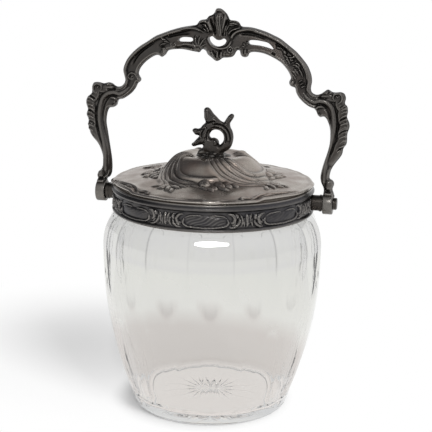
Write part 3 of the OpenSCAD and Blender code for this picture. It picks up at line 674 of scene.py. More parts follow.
BAIL_INNER = [
    (70.3, 6), (70.4, 8.8), (69.6, 11), (68.6, 13), (68.0, 16), (68.4, 20), (70, 26.2), (71.7, 31.9),
    (72.8, 37), (73.0, 42), (72.5, 47), (71.5, 50), (70, 52.9), (68.3, 54.1), (66.2, 53.6), (64.7, 55),
    (63.8, 57.2), (62.5, 58.6), (60.5, 59.2), (58.1, 60.3), (55, 62.6), (52.4, 65.2), (50.6, 68.3),
    (49.9, 71), (48, 71.6), (46.3, 73), (46.1, 74.7), (47, 76.8), (46.4, 78.8), (45.1, 81.1), (43, 83.7),
    (40.4, 86.2), (35.5, 89), (30, 91.2), (25.3, 92), (22, 91.9), (20.3, 91), (19.8, 89.4), (18, 88.6),
    (16, 89), (14.9, 90.5), (14.6, 92.4), (13.3, 92.9), (12.2, 92), (11, 89.7), (9.4, 88.5), (6.6, 88),
    (3.8, 87.8), (2, 86.4), (0, 85.6), (-1.6, 86.3), (-3.6, 87.9), (-5.9, 89.6), (-6.9, 91.5),
    (-8.5, 92.6), (-9.9, 92.3), (-11.1, 90.7), (-13, 90.9), (-16.1, 91.3), (-20.1, 92), (-24.1, 92.3),
    (-29.8, 91.6), (-31.6, 90.7), (-33, 88.6), (-35.2, 86.9), (-37, 87.8), (-38.8, 88), (-42, 86.5),
    (-46, 83.4), (-49, 79.8), (-50.2, 76.5), (-49.7, 74.4), (-48.6, 72.6), (-49.2, 71), (-50.6, 70),
    (-52, 67), (-54.5, 63.8), (-57.6, 61.3), (-60.5, 59.6), (-63.2, 59), (-64, 57.4), (-64.6, 55.4),
    (-66.5, 54), (-69, 53.6), (-70.2, 51.7), (-71, 48), (-71.1, 43.8), (-70.2, 38.8), (-69.1, 32.5),
    (-68.1, 26.9), (-67.1, 20.6), (-66.8, 15), (-67.3, 11.2), (-68.6, 9), (-70.3, 7.8), (-70.4, 5)]
BAIL_HOLES = [
    [(-5.6, 99.3), (-4.8, 100.4), (-2.8, 100.9), (-1.6, 100), (0, 98.8), (2, 98.6), (3.8, 99.6), (5.5, 99.3),
     (6.1, 97.9), (4.9, 96.1), (2.6, 95), (0, 94.7), (-2.5, 95.4), (-4.5, 97)],
    [(-24.8, 97.6), (-23.8, 99), (-21.8, 99.7), (-18.4, 99.8), (-15.6, 99.4), (-15.1, 97.9), (-16.7, 97.1),
     (-20.1, 97), (-23.5, 97)],
    [(20.2, 99), (24.2, 99.3), (28.2, 98.8), (32.2, 97.9), (34.4, 96.1), (36.1, 93.9), (34.4, 94.2),
     (30.5, 95.3), (26.5, 96.1), (22.5, 96.4), (20.2, 97)]]
EYE_IN, EYE_OUT, EYE_R = 70.25, 76.45, 6.8
# the rails leave room for the crest, for the leaf up each leg and for the one on its knob, and they are
# heavier on the arch; heights count from the pivots
CREST_Z, CREST_R, ARCH_FROM_Z = 100, 19, 58
LEAF_X, LEAF_Z, KNOB_X, KNOB_Z = 67.5, 20, 64, 62
# half thicknesses: the channel's at the outer rail and what it gains towards the inner one; the rails, as
# (half width, height), and what the arch adds to the outer and the inner one; and the ground under the
# leaves, with the widths of its round edge and of its whole band
CHANNEL_LOW, CHANNEL_MORE = 1.5, 1.5
OUTER_RAIL, INNER_RAIL, ARCH_MORE = (1.25, 3.3), (1.3, 3.1), (0.4, 0.15)
LEAF_GROUND, LEAF_ROUND, LEAF_BAND = 3.0, 3.2, 7.5
BAIL_LEAST, BAIL_EDGE = 0.8, 0.9


def mirrored(points, s):
    """The points as they are for s = 1, and on the other leg for s = -1."""
    return [(x * s, z) for x, z in points]


def bail_strokes():
    """Raised lines of the bail: (points, half width, height over the middle plane, taper)."""
    out = []

    def add(w, h, *lines, taper=(0.25, 0.25)):
        for line in lines:
            out.append((line, w, h, taper))

    for s in (1, -1):
        # the rib that climbs the leg, turns in over the shoulder and ends under the arch
        add(2.3, 3.9, mirrored([(70.4, 10), (70.5, 17), (70.8, 25), (71.7, 31.4), (73.3, 37.6), (74.8, 45.2),
                                (75.0, 52.4), (73.6, 58.8), (70.2, 62.6), (66, 63.6), (61.8, 63),
                                (57.6, 65.4), (55, 68.6), (54, 72)], s), taper=(0.05, 0.15))
        # the leaf that climbs the leg's outside, rib by rib
        for k in range(11):
            z = 61.4 - 2.0 * k - 0.05 * k * k
            drop = 2.6 + 0.7 * math.sin(2.2 * k + s)
            add(0.95 + 0.12 * math.sin(1.7 * k), 3.45 + 0.3 * math.sin(2.6 * k + s),
                mirrored([(84.4 - 0.08 * k, z + 0.8), (80.8, z), (77 + 0.5 * math.sin(3 * k), z - drop)], s),
                taper=(0.15, 0.35))
        # the curl in the corner, the curl on the knob and the small one beside it
        add(1.3, 4.6, mirrored([(70.4, 58.6), (67.8, 60.2), (65, 60), (63.6, 58.2), (64.4, 55.8),
                                (67.2, 55.2)], s), taper=(0.3, 0.1))
        add(0.85, 4.1, mirrored([(73.2, 61.8), (75.8, 62), (78.6, 63.6), (79.3, 66.6), (77.2, 68.6),
                                 (74.4, 67.8), (74, 65.4), (75.8, 64.6)], s), taper=(0.3, 0.1))
        add(0.95, 4.1, mirrored([(76.2, 66.6), (76.5, 66.4)], s), taper=(0, 0))
        add(1.3, 3.8, mirrored([(66.4, 68), (68.6, 68.9), (71.2, 68.2)], s))
        # the ball and the neck over the eye
        add(3.0, 4.4, mirrored([(73.2, 10.6), (73.6, 13.2)], s), taper=(0, 0))
        add(1.7, 5.2, mirrored([(71.6, 6.4), (75.4, 6.4)], s), taper=(0, 0))
    # left arch: bud, lobe, hooked leaf and the fan beside the opening
    add(3.2, 3.4, [(-53.9, 73.6), (-53.6, 74.8)], taper=(0, 0))
    add(0.7, 4.2, [(-53.2, 71.8), (-55.6, 72.6), (-56.2, 74.6), (-54.4, 76.4), (-52, 75.8), (-51.2, 73.8),
                   (-52.6, 72.6)])
    add(1.0, 4.6, [(-53.8, 74.1), (-53.6, 74.3)], taper=(0, 0))
    add(1.3, 3.7, [(-51.2, 75.4), (-49.7, 73), (-50.6, 70.8)])
    add(2.2, 4.2, [(-33.4, 94.4), (-33.6, 91.4), (-34.6, 88)], taper=(0.3, 0.15))
    add(0.65, 4.6, [(-36.6, 93.2), (-34.4, 95), (-31.2, 95.4)], [(-34.2, 96.4), (-31.6, 96.6), (-30, 95.4)])
    add(0.6, 3.6, [(-30.2, 96.8), (-28.8, 94.6), (-29.2, 92.8)], [(-27.6, 96.8), (-26, 94.8), (-26.4, 93)],
        [(-35.7, 101.2), (-35.4, 99.2), (-34, 98), (-31, 97.2)])
    add(1.15, 3.4, [(-25.6, 94.6), (-19.6, 95.5), (-15, 94.9), (-12.4, 93.2), (-10, 91.6)])
    add(0.8, 3.9, [(-12.3, 93.2), (-14.4, 95.2), (-15.9, 97.8)], [(-12.2, 93.2), (-13.2, 98), (-13.7, 102)],
        [(-11.8, 93.2), (-11, 98.4), (-10.5, 101.8)], [(-11.4, 93.2), (-8.9, 97.4), (-7.1, 100.2)],
        [(-10.9, 93), (-7.9, 95.2), (-5.4, 96)], taper=(0.15, 0.3))
    # right arch: berries and leaves down its middle, three ties, the ball
    add(1.25, 4.7, [(42.7, 93.2), (43.4, 92.2)], taper=(0, 0))
    add(0.7, 4.0, [(40.2, 94.8), (42, 93.8), (43.8, 91)], [(42.8, 95.4), (46.1, 94.6), (48.2, 92)],
        [(37.4, 96.4), (39, 95), (41.6, 95.2)], [(41.6, 91.6), (44.3, 89.6), (46.2, 86.4)],
        [(44.8, 90.7), (46.3, 89.4), (48.6, 89.8), (50, 91.2)])
    add(0.75, 4.3, [(46.2, 89.3), (47.2, 87.7), (49.1, 88.5)], [(43.2, 89.6), (45.8, 87), (46.6, 84)],
        [(46.5, 84.6), (49.4, 85), (51.8, 83.6), (52.9, 81.4)])
    add(0.7, 3.7, [(46.6, 81.8), (49.4, 80.6), (51, 77.4)], [(48.6, 86), (51.2, 86), (53.4, 83.4)],
        [(51.6, 83.4), (53.8, 80.2), (54.8, 76.8)], [(48.4, 84), (50.2, 81.6), (52.8, 78.4)],
        [(47.4, 79.6), (49.6, 77.8), (50.4, 75.4)])
    add(0.85, 3.7, [(50.9, 89.4), (53.9, 85.6), (56.3, 81.4), (57.4, 77), (57.6, 72.6)])
    add(0.5, 4.3, [(51.6, 73.8), (53.2, 75.4), (55.2, 76.2)], [(52.3, 72), (54, 73.6), (56, 74.4)],
        [(53.2, 70.5), (54.8, 72), (56.8, 72.6)])
    add(1.9, 4.1, [(47.8, 73.4), (48.6, 74.6)], taper=(0, 0))
    add(0.6, 3.9, [(70.8, 70.2), (72.4, 68.9), (70.6, 68)])
    # the rolls that come in on both sides of the crest, and the rim of its opening
    add(1.0, 4.4, [(-25, 103.6), (-19.6, 105.1), (-14, 105.2), (-10, 104), (-7.6, 102.2)], taper=(0.15, 0.2))
    add(0.6, 4.7, [(-10.3, 106.6), (-8.3, 107.9), (-6.3, 106.3), (-5.2, 104), (-4.9, 101.2)],
        [(-9.3, 105.9), (-7.3, 104.8), (-6, 102.8)])
    add(1.45, 4.4, [(9.2, 98.2), (10, 101.6), (12.8, 104), (17, 105.3), (21.4, 105.6), (27, 104.6)],
        taper=(0.1, 0.2))
    add(0.75, 5.0, [(14.8, 106.6), (11.6, 105.6), (9.3, 104.5), (7.9, 102.6), (7.5, 100)])
    add(1.25, 4.2, [(-5.6, 101.4), (-4.9, 98.2), (-2, 94.7), (2.6, 93.4), (6.9, 94.5), (9.2, 98), (9.2, 100)],
        taper=(0.1, 0.1))
    # the crest: a ribbed middle leaf, a smooth one on its left, scrolled ones on both sides
    add(3.3, 4.9, [(1.7, 98.6), (1.8, 105), (1.3, 110.6), (0.8, 117.6)], taper=(0.5, 0.25))
    add(1.6, 4.4, [(3.4, 101), (4.4, 106), (4.8, 111), (4.4, 115.4)], taper=(0.35, 0.25))
    add(2.3, 4.6, [(-2.9, 102.2), (-4, 106.4), (-5.4, 109.6), (-6.2, 112)], taper=(0.3, 0.25))
    add(1.5, 4.2, [(-5.8, 107.6), (-7.4, 109.6), (-9.7, 109.6), (-11.4, 108)], taper=(0.2, 0.3))
    add(1.0, 3.3, [(8, 111.8), (6.9, 114), (5.2, 115.8)])
    add(0.95, 4.3, [(7, 110), (9.6, 110.9), (12.4, 110.4), (14.6, 108.6)],
        [(6.8, 108), (8.6, 109), (11, 109), (13.4, 107.7)])
    add(0.75, 4.2, [(5.4, 102.6), (6.2, 105.4), (7.7, 107.4), (10, 107.8), (11.7, 107)])
    # the drop under the opening, its boss, and the bulb with its leaves on the right
    add(1.2, 4.1, [(0.9, 92.6), (0.9, 89.6), (0.9, 86.4)], [(-3.4, 92.6), (-2, 90), (0, 87.4)],
        [(3.4, 92.4), (3.2, 90), (1.9, 87.4)], taper=(0.2, 0.3))
    add(0.9, 3.7, [(-5.8, 93), (-4.4, 91.2), (-2.6, 89)], [(4.6, 91.6), (5.2, 90), (4.4, 88.8)])
    add(0.6, 4.0, [(8.9, 94.7), (10.7, 92.9), (8.9, 90.9), (7.1, 92.8), (8.7, 94.7)], taper=(0, 0))
    add(0.6, 3.8, [(8.8, 92.9), (9, 92.7)], taper=(0, 0))
    add(0.6, 4.1, [(18.8, 95), (16.6, 97.9)], [(18.4, 94.8), (15.4, 95.6)], [(19.6, 95.4), (19.2, 98.8)],
        [(17, 94), (14.6, 94.4)])
    add(1.9, 4.0, [(18.2, 94.4), (18.3, 92), (18.3, 90.2)], taper=(0.3, 0.1))
    return out


def bail_grooves():
    """Cut lines of the bail: (points, width, depth, taper)."""
    out = []

    def cut(w, depth, *lines, taper=(0.2, 0.2)):
        for line in lines:
            out.append((line, w, depth, taper))

    for s, notches in ((1, (62.6, 54.4, 46.4, 36.4)), (-1, (61.6, 52.2, 45.5, 37.4))):
        # from each notch of the outline into the leaf, and along both sides of the leg's rib
        for z in notches:
            cut(0.45, 1.2, mirrored([(83.6, z), (80.4, z - 1.2), (77.2, z - 3.6)], s), taper=(0, 0.4))
        cut(0.45, 1.0, mirrored([(67.9, 12), (67.9, 20), (68.8, 28), (70.6, 36), (72, 42), (72.6, 48),
                                 (72.3, 53.6), (71, 57.4), (68.4, 60.6), (64.6, 61.6)], s), taper=(0.05, 0.1))
        cut(0.45, 0.9,
            mirrored([(72.4, 26), (74.4, 33), (76.6, 40), (77.4, 48), (76.8, 55), (74.4, 60.6)], s),
            mirrored([(72.6, 66), (69.2, 65.6), (65.3, 65.8), (61.8, 65.6), (58.9, 67.4), (57.2, 70.6)], s))
    # the folded tip of the crest, its ribs and the gaps between its leaves
    cut(0.35, 1.0, [(-0.9, 115.9), (1.6, 116), (4.2, 115.6)])
    cut(0.32, 0.9, [(1.2, 100.6), (0.5, 106), (-0.7, 110), (-1.5, 114.4)],
        [(2.1, 100.6), (1.7, 106), (1.1, 110.6), (1, 115)],
        [(2.9, 100.8), (2.9, 106), (2.8, 110.6), (2.9, 115)])
    cut(0.28, 0.6, [(0.3, 101.6), (-0.8, 106), (-2, 109.6), (-2.9, 112.8)],
        [(1.6, 104), (0.9, 109), (-0.2, 113.4)])
    cut(0.5, 1.5, [(-0.9, 100.8), (-1.6, 105), (-3.2, 108.8), (-4.6, 112.4)])
    cut(0.55, 2.0, [(3.5, 100.4), (4.4, 104.8), (5.5, 108.2), (6.4, 110.8), (7.6, 112)])
    cut(0.4, 1.3, [(-10.4, 107.4), (-8.2, 109), (-6, 107.2), (-4.6, 104.2)],
        [(5, 100.6), (5.4, 104), (7, 106.8), (9.6, 107.2)],
        [(7.2, 109.2), (9.6, 109.9), (12.4, 109.5)], [(-2.7, 92.6), (-0.9, 89.4), (0.2, 87)],
        [(2.2, 92.6), (2.1, 90), (1.4, 87)])
    cut(0.4, 1.0, [(17.4, 94), (17.4, 90.4)], [(19.2, 94), (19.4, 90.8)], [(-34.8, 92.4), (-34.4, 89)],
        [(46.6, 75.4), (46.8, 72.4)])
    # deep places of the channel
    cut(0.8, 0.8, [(-54.6, 80), (-52.6, 84.6), (-49, 89.4), (-44, 93.6), (-38.6, 97.2)],
        [(-33, 99), (-28, 100.6), (-22, 101.8), (-16, 102.2)],
        [(13.4, 102.4), (18, 103), (25, 102.2), (32, 99.8)])
    cut(0.7, 1.5, [(36.6, 97.6), (40.4, 96), (44.4, 93.6)], [(34.6, 92), (37.2, 90.6)],
        [(-27.6, 92.8), (-20, 93.6), (-13, 92.4)])
    return out


def flat_casting(name, loops, voxel):
    """A plate of even thickness with an outline and openings, made of small faces that relief can move.

    It stands in the XZ plane. Its half thickness is CAST_HALF."""
    verts, edges = [], []
    for loop in loops:
        start = len(verts)
        verts += [(x * MM, 0, z * MM) for x, z in loop]
        edges += [(start + i, start + (i + 1) % len(loop)) for i in range(len(loop))]
    mesh = bpy.data.meshes.new(name)
    mesh.from_pydata(verts, edges, [])
    piece = bpy.data.objects.new(name, mesh)
    scene.collection.objects.link(piece)
    only(piece)
    bpy.ops.object.mode_set(mode="EDIT")
    bpy.ops.mesh.select_all(action="SELECT")
    bpy.ops.mesh.fill()
    bpy.ops.mesh.select_all(action="SELECT")
    bpy.ops.mesh.extrude_region_move(TRANSFORM_OT_translate={"value": (0, 2 * CAST_HALF * MM, 0)})
    bpy.ops.mesh.select_all(action="SELECT")
    bpy.ops.transform.translate(value=(0, -CAST_HALF * MM, 0))
    bpy.ops.mesh.normals_make_consistent(inside=False)
    bpy.ops.object.mode_set(mode="OBJECT")
    apply_modifier(piece, "REMESH", mode="VOXEL", voxel_size=voxel * MM, adaptivity=0.0)
    apply_modifier(piece, "SMOOTH", factor=0.5, iterations=3)
    return piece


def rail(d, r, h):
    """Height of a round rail along an edge, at a distance from it."""
    return h * np.sqrt(np.clip(1 - ((d - r) / r) ** 2, 0, 1))


def make_bail():
    outer = spline(BAIL_OUTER, 4)
    inner = spline(BAIL_INNER, 4)
    holes = [spline(h, 3, closed=True) for h in BAIL_HOLES]
    # both feet end inside the eyes
    right_foot = [(70.3, 1), (70.3, -4), (76.4, -4), (76.5, 1)]
    left_foot = [(-76.5, 1), (-76.4, -4), (-70.3, -4), (-70.3, 1)]
    ring = np.concatenate([outer, left_foot, inner[::-1], right_foot])
    piece = flat_casting("cast_bail", [ring] + holes, BAIL_VOXEL)
    co = coords_of(piece)
    xy = co[:, [0, 2]]
    d_out = nearest(xy, outer)[0]
    d_in = nearest(xy, inner)[0]
    d_hole = np.minimum.reduce([nearest(xy, h, closed=True)[0] for h in holes])
    near = np.minimum(d_out, d_in)
    x, high = np.abs(xy[:, 0]), xy[:, 1]
    crest = smooth((CREST_R - np.hypot(x, (high - CREST_Z) * 1.1)) / 5)
    leafy = smooth((x - LEAF_X) / 3) * smooth((high - LEAF_Z) / 6)
    leafy = np.maximum(leafy, smooth((x - KNOB_X) / 3) * smooth((high - KNOB_Z) / 4))
    arch = smooth((high - ARCH_FROM_Z) / 6)
    # the channel between the rails is hollow, deepest beside the outer one
    half = (CHANNEL_LOW + CHANNEL_MORE * smooth(d_out / (d_out + d_in + 0.01))) \
        * np.sqrt(np.clip(np.minimum(near, 1.6) / 1.6, 0.02, 1))
    outer_rail = rail(d_out, OUTER_RAIL[0] + ARCH_MORE[0] * arch, OUTER_RAIL[1] + ARCH_MORE[0] * arch)
    half = np.maximum(half, outer_rail * (1 - crest) * (1 - leafy))
    half = np.maximum(half, rail(d_in, INNER_RAIL[0] + ARCH_MORE[1] * arch, INNER_RAIL[1]) * (1 - crest))
    rounded = np.sqrt(np.clip(1 - (1 - np.minimum(d_out, LEAF_ROUND) / LEAF_ROUND) ** 2, 0.0, 1))
    half = np.maximum(half, LEAF_GROUND * rounded * leafy * smooth((LEAF_BAND - d_out) / 2.5))
    half = np.maximum(half, highest(xy, bail_strokes()))
    half = np.maximum(half - highest(xy, bail_grooves(), groove), BAIL_LEAST)
    half *= np.sqrt(np.clip(np.minimum(near, d_hole + BAIL_EDGE) / BAIL_EDGE, 0.18, 1))
    co[:, 1] *= half / CAST_HALF
    set_coords(piece, co)
    lean = Matrix.Rotation(-math.radians(BAIL_LEAN), 4, "X")
    piece.data.transform(Matrix.Translation((0, 0, PIVOT_Z * MM)) @ lean)
    for s in (1, -1):
        only(piece)
        bpy.ops.mesh.primitive_cylinder_add(vertices=64, radius=EYE_R * MM, depth=(EYE_OUT - EYE_IN) * MM,
                                            location=(s * (EYE_IN + EYE_OUT) / 2 * MM, 0, PIVOT_Z * MM),
                                            rotation=(0, math.pi / 2, 0))
        eye = bpy.context.object
        apply_modifier(eye, "BEVEL", width=0.7 * MM, segments=3, limit_method="ANGLE")
        bpy.ops.object.transform_apply(location=True, rotation=True, scale=True)
        smooth_shaded(eye)
        joined(piece, eye)
    wear(piece, 0.75)
    smooth_shaded(piece)
    finish(piece, cast_metal, "bail", "bail_handle")


# ---- Finial ----
FINIAL_OUTLINE = [
    (-9.6, 26.2), (-10.6, 28.0), (-9.9, 29.4), (-8.0, 30.7), (-7.2, 31.8), (-7.4, 33), (-8.6, 33),
    (-11.1, 32.3), (-13.0, 31.7), (-14.4, 32.3), (-14.5, 33.4), (-13.2, 34.5), (-11.4, 36.5), (-10, 38),
    (-9.9, 38.8), (-12.2, 39.3), (-13.3, 40.5), (-14.1, 41.6), (-13.7, 42.8), (-12.2, 43.3), (-10.5, 43.1),
    (-8.9, 43.8), (-7.6, 45.5), (-5.8, 47.2), (-5.9, 48.4), (-6.6, 50.2), (-6.7, 52.4), (-6.8, 54.9),
    (-6.3, 56.3), (-4.8, 56.9), (-3.3, 56.3), (-2.1, 55.0), (-0.6, 53.0), (1.4, 51.1), (3.2, 49.3),
    (5, 48.2), (6.1, 48.1), (7.1, 49.5), (8.5, 51.7), (9.8, 53.1), (10.9, 53.5), (12.1, 53.0),
    (12.4, 51.9), (11.7, 50.3), (10.2, 48), (9.9, 46.6), (10.4, 44.6), (11.4, 42.8), (12.0, 40.6),
    (12.2, 38.4), (11.9, 36), (11.3, 33.8), (10.2, 31.7), (8.4, 30.1), (6.4, 28.9), (5.4, 27.6),
    (5.2, 26.2)]
FINIAL_HOLE = [
    (1.6, 43.1), (3.5, 42.6), (5.2, 41.2), (6, 39.5), (6.2, 37.4), (5.7, 35.8), (4.7, 34.5), (3.8, 33.6),
    (3.2, 33.9), (2.9, 35.4), (2.1, 36.8), (0.9, 37.6), (-0.6, 37.9), (-1.6, 37.6), (-2.5, 38.1),
    (-3.1, 39.2), (-2.7, 40.6), (-1.6, 42.1), (0, 43)]
# raised lines as (points, half width, height over the middle plane), and cuts as (points, width, depth)
FINIAL_RIBS = [
    ([(7.8, 33), (9.6, 37), (8.8, 41.6), (5.4, 45), (1, 46), (-3, 45)], 1.5, 3.9),
    ([(-4.6, 49), (-4.8, 52), (-4.6, 55.4)], 1.9, 3.2), ([(7.6, 47), (9.4, 50), (11, 52.2)], 1.4, 2.9),
    ([(-9, 36.5), (-11.4, 34.4), (-13.4, 33)], 1.2, 2.9), ([(-8, 41.5), (-11, 41.3), (-13, 41.9)], 1.5, 3.1),
    ([(0.6, 33), (1.2, 35), (-0.2, 36.4)], 1.7, 3.9), ([(-6.4, 34), (-5.8, 38), (-5.4, 42)], 1.7, 3.9)]
FINIAL_CUTS = [
    ([(9.6, 32.8), (10.6, 37.6), (9.6, 42.4), (6.2, 46.2), (1.4, 47.2), (-3.4, 46)], 0.45, 1.3),
    ([(6.9, 33.6), (8, 37.6), (7.2, 41.2), (4.4, 43.9), (0.8, 44.6), (-2.6, 43.6)], 0.45, 1.3),
    ([(-7.6, 37), (-7.4, 41), (-5.4, 44.6)], 0.4, 1.2), ([(-4.4, 36), (-4.4, 40), (-3, 43.6)], 0.4, 1.0),
    ([(-6.2, 34), (-5.6, 38.6)], 0.35, 0.9),
    ([(-5.6, 48.6), (-3.6, 47.6), (-0.8, 48.4), (2, 48.2)], 0.5, 1.5),
    ([(-4.6, 50), (-4.9, 55)], 0.4, 0.6), ([(8, 48), (10.6, 51.8)], 0.35, 0.5),
    ([(-9, 42.8), (-12.6, 41.2)], 0.35, 0.6), ([(-9.4, 36), (-13, 32.8)], 0.35, 0.6),
    ([(-6, 45.6), (-4, 43.8)], 0.35, 0.9), ([(-8.4, 43.4), (-6, 42.6)], 0.35, 0.9)]
# how far the scroll stands off the jar's axis, and the height that its outline counts from
FINIAL_X, FINIAL_Z = 0.35, 135.75
# the scroll's ring, which is thicker than the leaf tips beyond it
RING_X, RING_Z, RING_R = 1.7, 38.6, 9.5
RING_HALF, TIP_LESS, ROUND_OVER, FINIAL_LEAST = 3.3, 0.7, 2.6, 0.5
# the knot at its root, in three rings of leaves: their count, turn, reach, rise and lowest height
KNOT_R, KNOT_HIGH = 11.4, 3.4
KNOT_LEAVES = ((6, 12, 11.2, 1.5, 0.0), (5, 40, 8.6, 1.7, 0.9), (4, 5, 5.8, 1.6, 2.0))


def knot_height(r, a):
    """Height of the knot's leaves over the lid."""
    height = np.zeros(len(r))
    for count, turn, reach, rise, low in KNOT_LEAVES:
        off = wrapped(a - turn, 360 / count) / (180 / count)
        long = reach * (0.72 + 0.28 * np.cos(np.clip(off, -1, 1) * math.pi / 2) ** 0.7)
        leaf = low + rise * np.sqrt(np.clip(1 - (r / long) ** 2.6, 0, 1)) \
            * (0.45 + 0.55 * np.cos(off * math.pi / 2) ** 0.8)
        # the leaf's middle vein
        leaf -= 0.45 * bump(off, 0.1) * smooth(r / 4)
        height = np.maximum(height, np.where(r < long, leaf, 0))
    return height


def make_finial():
    outer = spline(FINIAL_OUTLINE, 4, closed=True)
    hole = spline(FINIAL_HOLE, 4, closed=True)
    piece = flat_casting("cast_finial", [outer, hole], FINIAL_VOXEL)
    co = coords_of(piece)
    xy = co[:, [0, 2]]
    near = np.minimum(nearest(xy, outer, closed=True)[0], nearest(xy, hole, closed=True)[0])
    tip = smooth((np.hypot(xy[:, 0] - RING_X, xy[:, 1] - RING_Z) - RING_R) / 3)
    half = RING_HALF - TIP_LESS * tip
    half *= np.sqrt(np.clip(1 - (1 - np.minimum(near, ROUND_OVER) / ROUND_OVER) ** 2, 0.03, 1))
    half = np.maximum(half, highest(xy, [(*line, (0.2, 0.2)) for line in FINIAL_RIBS]))
    cuts = highest(xy, [(*line, (0.2, 0.2)) for line in FINIAL_CUTS], groove)
    co[:, 1] *= np.maximum(half - cuts, FINIAL_LEAST) / CAST_HALF
    set_coords(piece, co + (FINIAL_X, 0, FINIAL_Z))
    knot = [(r, HUB_Z) for r in np.linspace(0, KNOT_R, 40)] + [(KNOT_R, HUB_Z - 0.6), (0, HUB_Z - 0.6)]
    knot = spun("knot", knot, KNOT_STEPS, closed=False)
    co = coords_of(knot)
    co[:, 2] += np.where(co[:, 2] > HUB_Z - 0.3, knot_height(*around(co)) - 0.15, 0)
    set_coords(knot, co)
    joined(piece, knot)
    wear(piece, 0.5)
    # the knot is rubbed brighter than the scroll
    worn = piece.data.attributes["wear"].data
    value = np.empty(len(worn))
    worn.foreach_get("value", value)
    value += 0.35 * smooth((HUB_Z + KNOT_HIGH - coords_of(piece)[:, 2]) / 1.2) * (value > 0.35)
    worn.foreach_set("value", np.clip(value, 0, 1))
    smooth_shaded(piece)
    finish(piece, cast_metal, "lid", "finial")


# ---- Glass ----
JAR_R, BELLY_Z, SHOULDER_H, NECK_R, GLASS_TOP = 70.0, 107.0, 22.0, 58.0, 142.4
FOOT_R, WALL_FROM_Z, WALL, FLOOR, CORNER_R = 50.5, 3.0, 3.5, 7.0, 6.0
# two rows of cuts, alike in number: flutes down the shoulder, each a flat between two arrises, and
# lancets up the foot, deepest at their own height
FLUTES = 16
FLUTE_Z, FLUTE_TOP_Z = 74.0, 130.0
LANCET_Z, LANCET_DEEP_Z, LANCET_FOOT_Z, LANCET_DEPTH = 65.0, 14.0, 4.9, 0.7
# the hollow under the foot with the star in it
RECESS_R, REST_R, RECESS_H, STAR_DEPTH, STAR_RAYS = 41.6, 47.6, 0.8, 0.7, 16
# the painted shade of the cuts, for the dark refraction there, which also makes them rougher: the side
# that faces the camera, in degrees round the jar, which sets where it is painted; the arrises, from a height
# up; and the flutes' ends, as heights over the flutes' foot, half a width and how much shade they get
FRONT_AT = -80.0
ARRIS_FROM_Z, ARRIS_W = 98, 0.6
END_LOW, END_HIGH, END_HALF, END_SHADE_AND_ROUGH = 1.2, 12, 5.6, 0.45


def bezier(a, b, c, d, t):
    """Points of the Bezier curve at the shares t."""
    a, b, c, d = (np.array(p, float) for p in (a, b, c, d))
    return ((1 - t) ** 3)[:, None] * a + (3 * (1 - t) ** 2 * t)[:, None] * b \
        + (3 * (1 - t) * t * t)[:, None] * c + (t ** 3)[:, None] * d


def wall_line(low, high, neck, shoulder, n_belly, n_shoulder):
    """Profile of one side of the wall: the belly in one sweep, then the round shoulder."""
    rise = high[1] - low[1]
    belly = bezier(low, (low[0] + 9, low[1] + 0.22 * rise), (high[0], high[1] - 0.5 * rise), high,
                   np.linspace(0, 1, n_belly))
    a = np.linspace(0, math.pi / 2, n_shoulder)[1:]
    top = np.stack([neck + (high[0] - neck) * np.cos(a), high[1] + shoulder * np.sin(a)], 1)
    return np.concatenate([belly, top])


def cut_wall(co, wall_r, on_wall):
    """Radius of each point once both rows are cut into the round wall."""
    r, a = around(co)
    z = co[:, 2]
    pitch = 360 / FLUTES
    # a flat between two arrises takes this much off the wall in its middle
    deepest = JAR_R * (1 - math.cos(math.radians(pitch / 2))) + 0.1
    depth = deepest * np.clip((z - FLUTE_Z) / (BELLY_Z - FLUTE_Z), -1, 1)
    depth = np.where(z > BELLY_Z, deepest * smooth((FLUTE_TOP_Z - z) / 6) - 0.3, depth)
    flute = (wall_r - depth) / np.cos(np.radians(wrapped(a - pitch / 2, pitch)))
    below = (LANCET_Z - z) / (LANCET_Z - LANCET_DEEP_Z)
    depth = LANCET_DEPTH * np.minimum(np.sign(below) * np.sqrt(np.abs(below)),
                                      (z - LANCET_FOOT_Z) / (LANCET_DEEP_Z - LANCET_FOOT_Z))
    lancet = (wall_r - depth) / np.cos(np.radians(wrapped(a, pitch)))
    return np.where(on_wall, np.minimum(r, np.minimum(flute, lancet)), r)


def star_depth(co):
    """How deep the star under the foot is cut at each point."""
    r, a = around(co)
    off = np.abs(np.radians(wrapped(a, 360 / STAR_RAYS))) * r
    half = np.interp(r, [1.5, 9, RECESS_R - 1.5], [0.1, 1.7, 0.05])
    along = np.interp(r, [0, 1.5, 7, 13, 20, RECESS_R - 1.5], [0, 0.3, 1, 0.4, 0.09, 0])
    depth = STAR_DEPTH * np.clip(1 - off / np.maximum(half, 0.05), 0, 1) * along
    return np.where((co[:, 2] < RECESS_H + 0.05) & (r < RECESS_R), depth, 0)


def painted_shade_and_rough(r, a, z):
    """How much painted shade the cuts get where they refract darkly, and how much rougher they are: on the
    arrises of the shoulder and at the flutes' lower ends.

    The two arrises in the middle of the front get less than the others, and the flutes' ends get most on
    the side facing the camera."""
    pitch = 360 / FLUTES
    facing = np.cos(np.radians(a - FRONT_AT))
    arris = bump(np.radians(wrapped(a, pitch)) * r, ARRIS_W) * smooth((z - ARRIS_FROM_Z) / 12)
    arris *= 1 - 0.8 * smooth((facing - 0.9) / 0.05)
    across = np.radians(wrapped(a - pitch / 2, pitch)) * r
    above = z - FLUTE_Z - END_LOW - 0.2 * across ** 2
    flute_end = smooth(above / 1.8) * smooth((END_HIGH - above) / 11) \
        * smooth((END_HALF - np.abs(across)) / 2.6)
    flute_end *= 0.8 + 0.2 * np.sin(3.1 * across + 0.7 * np.round(a / pitch))
    flute_end *= 0.35 + 0.65 * smooth((facing + 0.2) / 0.5)
    return arris + END_SHADE_AND_ROUGH * flute_end


